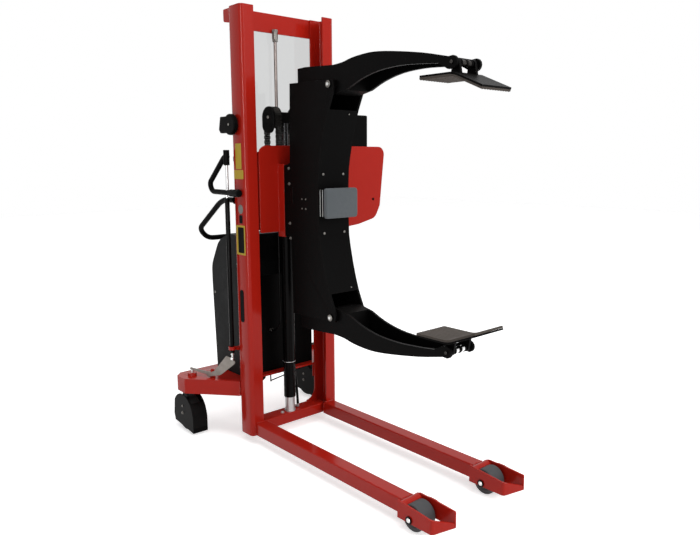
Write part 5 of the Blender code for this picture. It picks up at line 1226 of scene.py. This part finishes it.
def make_clamp(sizes):
    """The clamp's black parts, its bolts, slot covers, pin caps, buffer and rods, and both pads' rubbers and pins."""
    for node, width in (("clamp_body", 0.0016), ("upper_arm", 0.0028), ("lower_arm", 0.0028), ("upper_pad", 0.0014),
                        ("lower_pad", 0.0014), ("slew_housing", 0.0016), ("drive_box", 0.004),
                        ("cross_member", 0.0015)):
        dressed(node, *BLACK, width, 3)
    dressed("clamp_cylinder", *OILED_STEEL, 0.0010, 2)
    bolts, dark, caps, ends = Shape(), Shape(), Shape(), Shape()
    size, level = sizes.bolt, CLAMP_LEVEL
    for sign, axis in ((-1, "-X"), (1, "X")):
        for y, z in ((-0.083, 0.133), (-0.085, 0.071), (-0.085, -0.090), (-0.087, -0.1515)):
            place = hit("clamp_body", (sign * 0.3, y, level + z), (-sign, 0, 0))
            bolt(bolts, place, axis, size * 0.82, "cap")
        for y, z in ((-0.168, 0.012), (-0.192, 0.012), (-0.168, -0.026), (-0.192, -0.026)):
            bolt(bolts, hit("clamp_body", (sign * 0.3, y, level + z), (-sign, 0, 0)), axis, size * 0.45, "cap")
        slot = eased(rectangle(-0.108, level - 0.008, -0.096, level + 0.060), 0.006, 5, True)
        face = hit("clamp_body", (sign * 0.3, -0.102, level + 0.026), (-sign, 0, 0))[0]
        dark.slab(slot, "X", face - sign * 0.001, face + sign * 0.0012)
        for word, up in ENDS:
            place = np.array([sign * 0.0822, -0.340, level + up * 0.443])
            caps.turn([(0, -0.002), (0.0130, -0.002), (0.0130, 0.0006), (0.0118, 0.0014), (0, 0.0014)], axis, place, 40)
            ends.turn([(0, 0.0012), (0.0068, 0.0012), (0.0062, 0.0036), (0, 0.0036)], axis, place, 6)
    for x, z, radius in ((-0.055, 0.111, 0.9), (0.047, 0.111, 0.9), (-0.052, -0.119, 0.9), (0.051, -0.119, 0.9),
                         (0.033, 0.338, 0.55), (0.040, -0.338, 0.55)):
        place = hit("clamp_body", (x, -1.0, level + z), (0, 1, 0))
        if place is not None and place[1] < -0.24:
            bolts.turn(disc(size * radius, size * 0.5, size * 0.28), "-Y", place, 28)
    bolts.piece("clamp_bolts", "clamp", *DULL_ZINC)
    caps.piece("arm_pin_caps", "clamp", *DULL_ZINC)
    ends.piece("arm_pin_ends", "clamp", *ZINC)
    dark.piece("clamp_slot_covers", "clamp", *GLOSS_BLACK, bevel=0.0008)
    make_buffer()
    for word, sign in ENDS:
        rod = Shape()
        node = word + "_cylinder_rod"
        low, high = low_high(node)
        rod.turn([(0, low[2]), (0.014, low[2]), (0.015, low[2] + 0.001), (0.015, high[2] - 0.001),
                  (0.014, high[2]), (0, high[2])], "Z", (0, middle(node)[1], 0), 40)
        rod.piece(node + "_finished", BODY_OF[node], "chrome", "chrome", (node,))
        make_facing(word, sign, sizes)
        make_pad_pin(word, sign)


def make_facing(word, sign, sizes):
    """The ribbed rubber of a pad. Its back is the pad's V, and its front stands back by up to the groove's depth times
    1 - |sin(pi x / pitch)|^0.5 across its width, so that ribs run along it."""
    node = word + "_pad_rubber"
    low, high = low_high(node)
    axis, pin, rise = CLAMP_LEVEL, PAD_PIN_REACH, PAD_PIN_RISE
    fold, fold_height = pin + 0.010, rise - 0.045
    rear, tip, tip_height = pin - 0.125, pin + 0.121, rise - 0.092
    face = eased([(rear, fold_height), (fold, fold_height), (tip, tip_height)], 0.020, 8)
    direction = unit(np.gradient(face, axis=0))
    away = np.stack([-direction[:, 1], direction[:, 0]], axis=1)
    depth, thickness = 0.0034 if sign > 0 else 0.0012, 0.0079
    ribs, steps = 11, 14
    columns = np.linspace(low[0], high[0], ribs * steps + 1)
    groove = depth * (1 - np.abs(np.sin(np.pi * (columns - low[0]) / sizes.rib_pitch)) ** 0.5)
    front = face[:, None] + away[:, None] * groove[None, :, None]
    back = np.broadcast_to((face + away * thickness)[:, None], front.shape)
    ring = np.concatenate([front, back[:, ::-1]], axis=1)
    across = np.concatenate([columns, columns[::-1]])
    points = np.stack([np.broadcast_to(across, ring.shape[:2]), -ring[..., 0], axis + sign * ring[..., 1]], axis=-1)
    shape = Shape()
    shape.grid(points)
    count = points.shape[1]
    index = np.arange(count // 2 - 1)
    for row in (0, len(points) - 1):
        base = row * count
        caps = np.stack([base + index, base + index + 1, base + count - 2 - index, base + count - 1 - index], axis=-1)
        shape.faces += caps.tolist()
    shape.piece(word + "_pad_facing", BODY_OF[node], "black_rubber", "pad rubber", (node,), sharp=50)


def make_pad_pin(word, sign):
    """Spacers and a spring on each pad's pin, which is a coil r (cos t, sin t) with t growing along the pin."""
    axis, y = CLAMP_LEVEL + sign * PAD_PIN_RISE, -PAD_PIN_REACH
    look = "oiled steel" if sign > 0 else "chrome"
    spacers, collars, spring = Shape(), Shape(), Shape()
    bore, spacer, collar, coil, wire_radius, turns = 0.0072, 0.0108, 0.0128, 0.0094, 0.0011, 3
    for x0, x1 in ((-0.0225, -0.0085), (0.0085, 0.0225)):
        spacers.turn(rectangle(bore, x0, spacer, x1), "X", (0, y, axis), 32, closed=True)
    spacers.piece(word + "_pad_spacers", BODY_OF[word + "_arm"], "chrome", look)
    for x0, x1 in ((-0.0283, -0.0230), (-0.0030, 0.0030), (0.0230, 0.0283)):
        collars.turn(rectangle(bore, x0, collar, x1), "X", (0, y, axis), 32, closed=True)
    collars.piece(word + "_pad_collars", BODY_OF[word + "_arm"], *BLACK, bevel=0.0006)
    for x, way in ((-0.0655, "-X"), (0.0655, "X")):
        spring.turn([(0, 0), (0.0056, 0), (0.0056, 0.0012), (0.0045, 0.0022), (0, 0.0022)], way, (x, y, axis), 28)
    for middle_x in (-0.0055, 0.0055):
        t = np.linspace(0, 2 * np.pi * turns, turns * 20)
        path = np.stack([middle_x + np.linspace(-0.0022, 0.0022, len(t)), y + coil * np.cos(t),
                         axis + coil * np.sin(t)], axis=1)
        spring.tube(path, wire_radius, 8)
    spring.piece(word + "_pad_spring", BODY_OF[word + "_arm"], *OILED_STEEL)


class STACKER_OT_clamp(bpy.types.Operator):
    """Finish the clamp's body, arms, pads, cylinder, bolts, buffer and pins"""

    bl_idname = "stacker.clamp"
    bl_label = "Clamp"

    def execute(self, context):
        make_clamp(context.scene.stacker_sizes)
        return {"FINISHED"}


def make_screen():
    """The clear screen with its clips and screws."""
    dressed("screen", "clear_plastic", "clear sheet", 0.0006, 2)
    clips, screws = Shape(), Shape()
    back = low_high("screen")[1][1]
    for side in (-1, 1):
        for z in (1.300, 1.500, 1.670):
            x = side * 0.205
            clip = eased(rectangle(z - 0.012, x - 0.011, z + 0.012, x + 0.011), 0.003, 4, True)
            clips.slab(clip, "Y", back + 0.0001, back + 0.0022)
            screws.turn(disc(0.0052, 0.0026, 0.0014), "Y", (x, back + 0.0020, z), 20)
    clips.piece("screen_clips", "chassis", *ZINC, bevel=0.0004)
    screws.piece("screen_screws", "chassis", *ZINC)


def make_plates():
    """The bare plates on the near column, in the places of its stickers, a black slab that paints the shade inside a
    slot in its side, and the wing's screw.
    """
    plates, dark, oval = Shape(), Shape(), Shape()
    outer = -0.2352  # just outside the near column's outer face
    for shape, y0, y1, z0, z1, proud, radius in ((plates, 0.022, 0.064, 1.166, 1.268, 0.0008, 0.004),
                                                 (plates, 0.010, 0.078, 1.126, 1.162, 0.0008, 0.004),
                                                 (plates, 0.010, 0.076, 0.816, 0.938, 0.0008, 0.004),
                                                 (dark, 0.018, 0.062, 0.824, 0.930, 0.0013, 0.004),
                                                 (dark, 0.026, 0.050, 0.946, 0.980, 0.0008, 0.004),
                                                 # Black slab over a slot in the column's side: painted shade of the
                                                 # slot's inside
                                                 (dark, 0.034, 0.062, 0.530, 0.668, 0.0012, 0.013)):
        shape.slab(eased(rectangle(y0, z0, y1, z1), radius, 5, True), "X", outer, outer - proud)
    turn = np.linspace(0, 2 * np.pi, 40, endpoint=False)
    oval.slab(np.stack([0.038 + 0.017 * np.cos(turn), 1.004 + 0.019 * np.sin(turn)], axis=1), "X", outer,
              outer - 0.0008)
    plates.piece("bare_plates", "chassis", "zinc", "plain plate", bevel=0.0003)
    dark.piece("dark_plates_and_painted_slot_shade", "chassis", *BLACK, bevel=0.0003)
    oval.piece("oval_plate", "chassis", *DULL_ZINC, bevel=0.0003)
    screw = Shape()
    screw.turn(disc(0.0065, 0.0022, 0.0010), "-Y", (0.4259, -0.0470, 1.0218), 24)
    screw.piece("wing_screw", BODY_OF["wing_plate"], *BLACK)


class STACKER_OT_screen(bpy.types.Operator):
    """Finish the clear screen, its clips and the bare plates on the mast"""

    bl_idname = "stacker.screen"
    bl_label = "Screen and plates"

    def execute(self, context):
        make_screen()
        make_plates()
        return {"FINISHED"}


# Studio


def soft_light(name, place, target, size, power):
    """A rectangular softbox that looks at a target."""
    lamp = bpy.data.lights.new(name, "AREA")
    lamp.energy, lamp.shape, lamp.size, lamp.size_y = power, "RECTANGLE", size[0], size[1]
    made = bpy.data.objects.new(name, lamp)
    made.location = place
    made.rotation_mode = "QUATERNION"
    made.rotation_quaternion = (Vector(target) - Vector(place)).to_track_quat("-Z", "Y")
    bpy.context.scene.collection.objects.link(made)
    return made


def seen_directly(nodes):
    """One where a ray comes from the camera, a mirror or clear plastic."""
    path = nodes.add("LightPath").outputs
    direct = nodes.math("MAXIMUM", path["Is Camera Ray"], path["Is Glossy Ray"])
    return nodes.math("MAXIMUM", direct, path["Is Transmission Ray"])


def make_world(studio):
    """Light from all round, which is plain white where it is seen directly."""
    world = bpy.data.worlds.new("studio")
    bpy.context.scene.world = world
    world.use_nodes = True
    nodes = Nodes(world.node_tree)
    world.node_tree.nodes.clear()
    direct = seen_directly(nodes)
    room = nodes.add("Background", {"Color": (1, 1, 1, 1), "Strength": studio.room})
    white = nodes.add("Background", {"Color": (1, 1, 1, 1), "Strength": 1.0})
    both = nodes.add("MixShader", {0: direct, 1: room.outputs[0], 2: white.outputs[0]})
    nodes.add("OutputWorld", {0: both.outputs[0]})


def make_floor():
    """A pale floor that keeps the machine's shadow. It is a flat grid, (u, v) to (u, v, 0)."""
    reach, count = 14.0, 9
    u = np.linspace(-reach, reach, count)
    points = np.zeros((count, count, 3))
    points[..., 0], points[..., 1] = u[None, :], u[:, None]
    index = np.arange(count * count).reshape(count, count)
    faces = np.stack([index[:-1, :-1], index[:-1, 1:], index[1:, 1:], index[1:, :-1]], axis=-1).reshape(-1, 4)
    mesh = bpy.data.meshes.new("studio_floor")
    mesh.from_pydata(points.reshape(-1, 3) - np.array([0, 0, 0.0004]), [], faces.tolist())
    floor = bpy.data.objects.new("studio_floor", mesh)
    bpy.context.scene.collection.objects.link(floor)
    made = bpy.data.materials.new("studio floor")
    made.use_nodes = True
    nodes = Nodes(made.node_tree)
    made.node_tree.nodes.clear()
    place = nodes.add("TexCoord").outputs["Object"]
    shade = nodes.mix(nodes.noise(place, 0.7, 2), (0.90, 0.90, 0.90), (0.93, 0.93, 0.93))
    plain = nodes.add("BsdfDiffuse", {"Color": shade, "Roughness": 0.6})
    lit = nodes.add("Emission", {"Color": (1, 1, 1, 1), "Strength": 0.56})
    glow = nodes.add("AddShader", {0: plain.outputs[0], 1: lit.outputs[0]})
    both = nodes.add("MixShader", {0: seen_directly(nodes), 1: plain.outputs[0], 2: glow.outputs[0]})
    nodes.add("OutputMaterial", {0: both.outputs[0]})
    mesh.materials.append(made)


def make_camera(studio):
    """A camera whose back is (sin a cos e, -cos a cos e, sin e), for its turn a and pitch e, rolled round that line."""
    turn, pitch, roll = studio.turn, studio.pitch, studio.roll
    back = Vector((math.sin(turn) * math.cos(pitch), -math.cos(turn) * math.cos(pitch), math.sin(pitch)))
    right = Vector((math.cos(turn), math.sin(turn), 0))
    up = back.cross(right)
    right, up = right * math.cos(roll) + up * math.sin(roll), up * math.cos(roll) - right * math.sin(roll)
    data = bpy.data.cameras.new("camera")
    data.lens, data.sensor_width = studio.lens, 36.0
    data.clip_start, data.clip_end = 0.05, 60
    made = bpy.data.objects.new("camera", data)
    matrix = Matrix((right, up, back)).transposed().to_4x4()
    matrix.translation = Vector(np.array(CAMERA_PLACE) + MAST)
    made.matrix_world = matrix
    bpy.context.scene.collection.objects.link(made)
    bpy.context.scene.camera = made


class STACKER_OT_studio(bpy.types.Operator):
    """Set up the pale floor, the soft light and the camera"""

    bl_idname = "stacker.studio"
    bl_label = "Studio"

    def execute(self, context):
        studio = context.scene.stacker_studio
        make_world(studio)
        make_floor()
        soft_light("front softbox", (0.9, -4.6, 2.9), (0, 0, 0.9), (3.2, 2.4), studio.key)
        soft_light("overhead softbox", (-0.4, -0.4, 4.6), (0, 0, 0.6), (3.0, 3.0), studio.top)
        strip = soft_light("strip softbox", (-3.2, -1.9, 1.3), (0, 0.3, 1.0), (0.7, 2.6), studio.strip)
        strip.visible_diffuse = False
        make_camera(studio)
        context.scene.view_settings.view_transform = "Standard"
        return {"FINISHED"}


class STACKER_PT_looks(bpy.types.Panel):
    """Lists the stacker's pieces, colours and sizes"""

    bl_idname = "STACKER_PT_looks"
    bl_label = "Reel stacker"
    bl_space_type = "VIEW_3D"
    bl_region_type = "UI"
    bl_category = "Stacker"

    def draw(self, context):
        layout = self.layout
        for operator in OPERATORS:
            layout.operator(operator.bl_idname)
        for group_name in ("stacker_paint", "stacker_sizes", "stacker_studio"):
            settings = getattr(context.scene, group_name)
            box = layout.box()
            for name in settings.bl_rna.properties.keys():
                if name not in ("rna_type", "name"):
                    box.prop(settings, name)


OPERATORS = (STACKER_OT_red_frame, STACKER_OT_load_rollers, STACKER_OT_casters, STACKER_OT_handles,
             STACKER_OT_lift_control, STACKER_OT_power_pack, STACKER_OT_lift_gear, STACKER_OT_clamp,
             STACKER_OT_screen, STACKER_OT_studio)
CLASSES = (StackerPaint, StackerSizes, StackerStudio, *OPERATORS, STACKER_PT_looks)


def register():
    for item in CLASSES:
        bpy.utils.register_class(item)
    bpy.types.Scene.stacker_paint = PointerProperty(type=StackerPaint)
    bpy.types.Scene.stacker_sizes = PointerProperty(type=StackerSizes)
    bpy.types.Scene.stacker_studio = PointerProperty(type=StackerStudio)


def unregister():
    del bpy.types.Scene.stacker_studio
    del bpy.types.Scene.stacker_sizes
    del bpy.types.Scene.stacker_paint
    for item in reversed(CLASSES):
        bpy.utils.unregister_class(item)


def main():
    register()
    for operator in OPERATORS:
        section, name = operator.bl_idname.split(".")
        getattr(getattr(bpy.ops, section), name)()


if __name__ == "__main__":
    main()
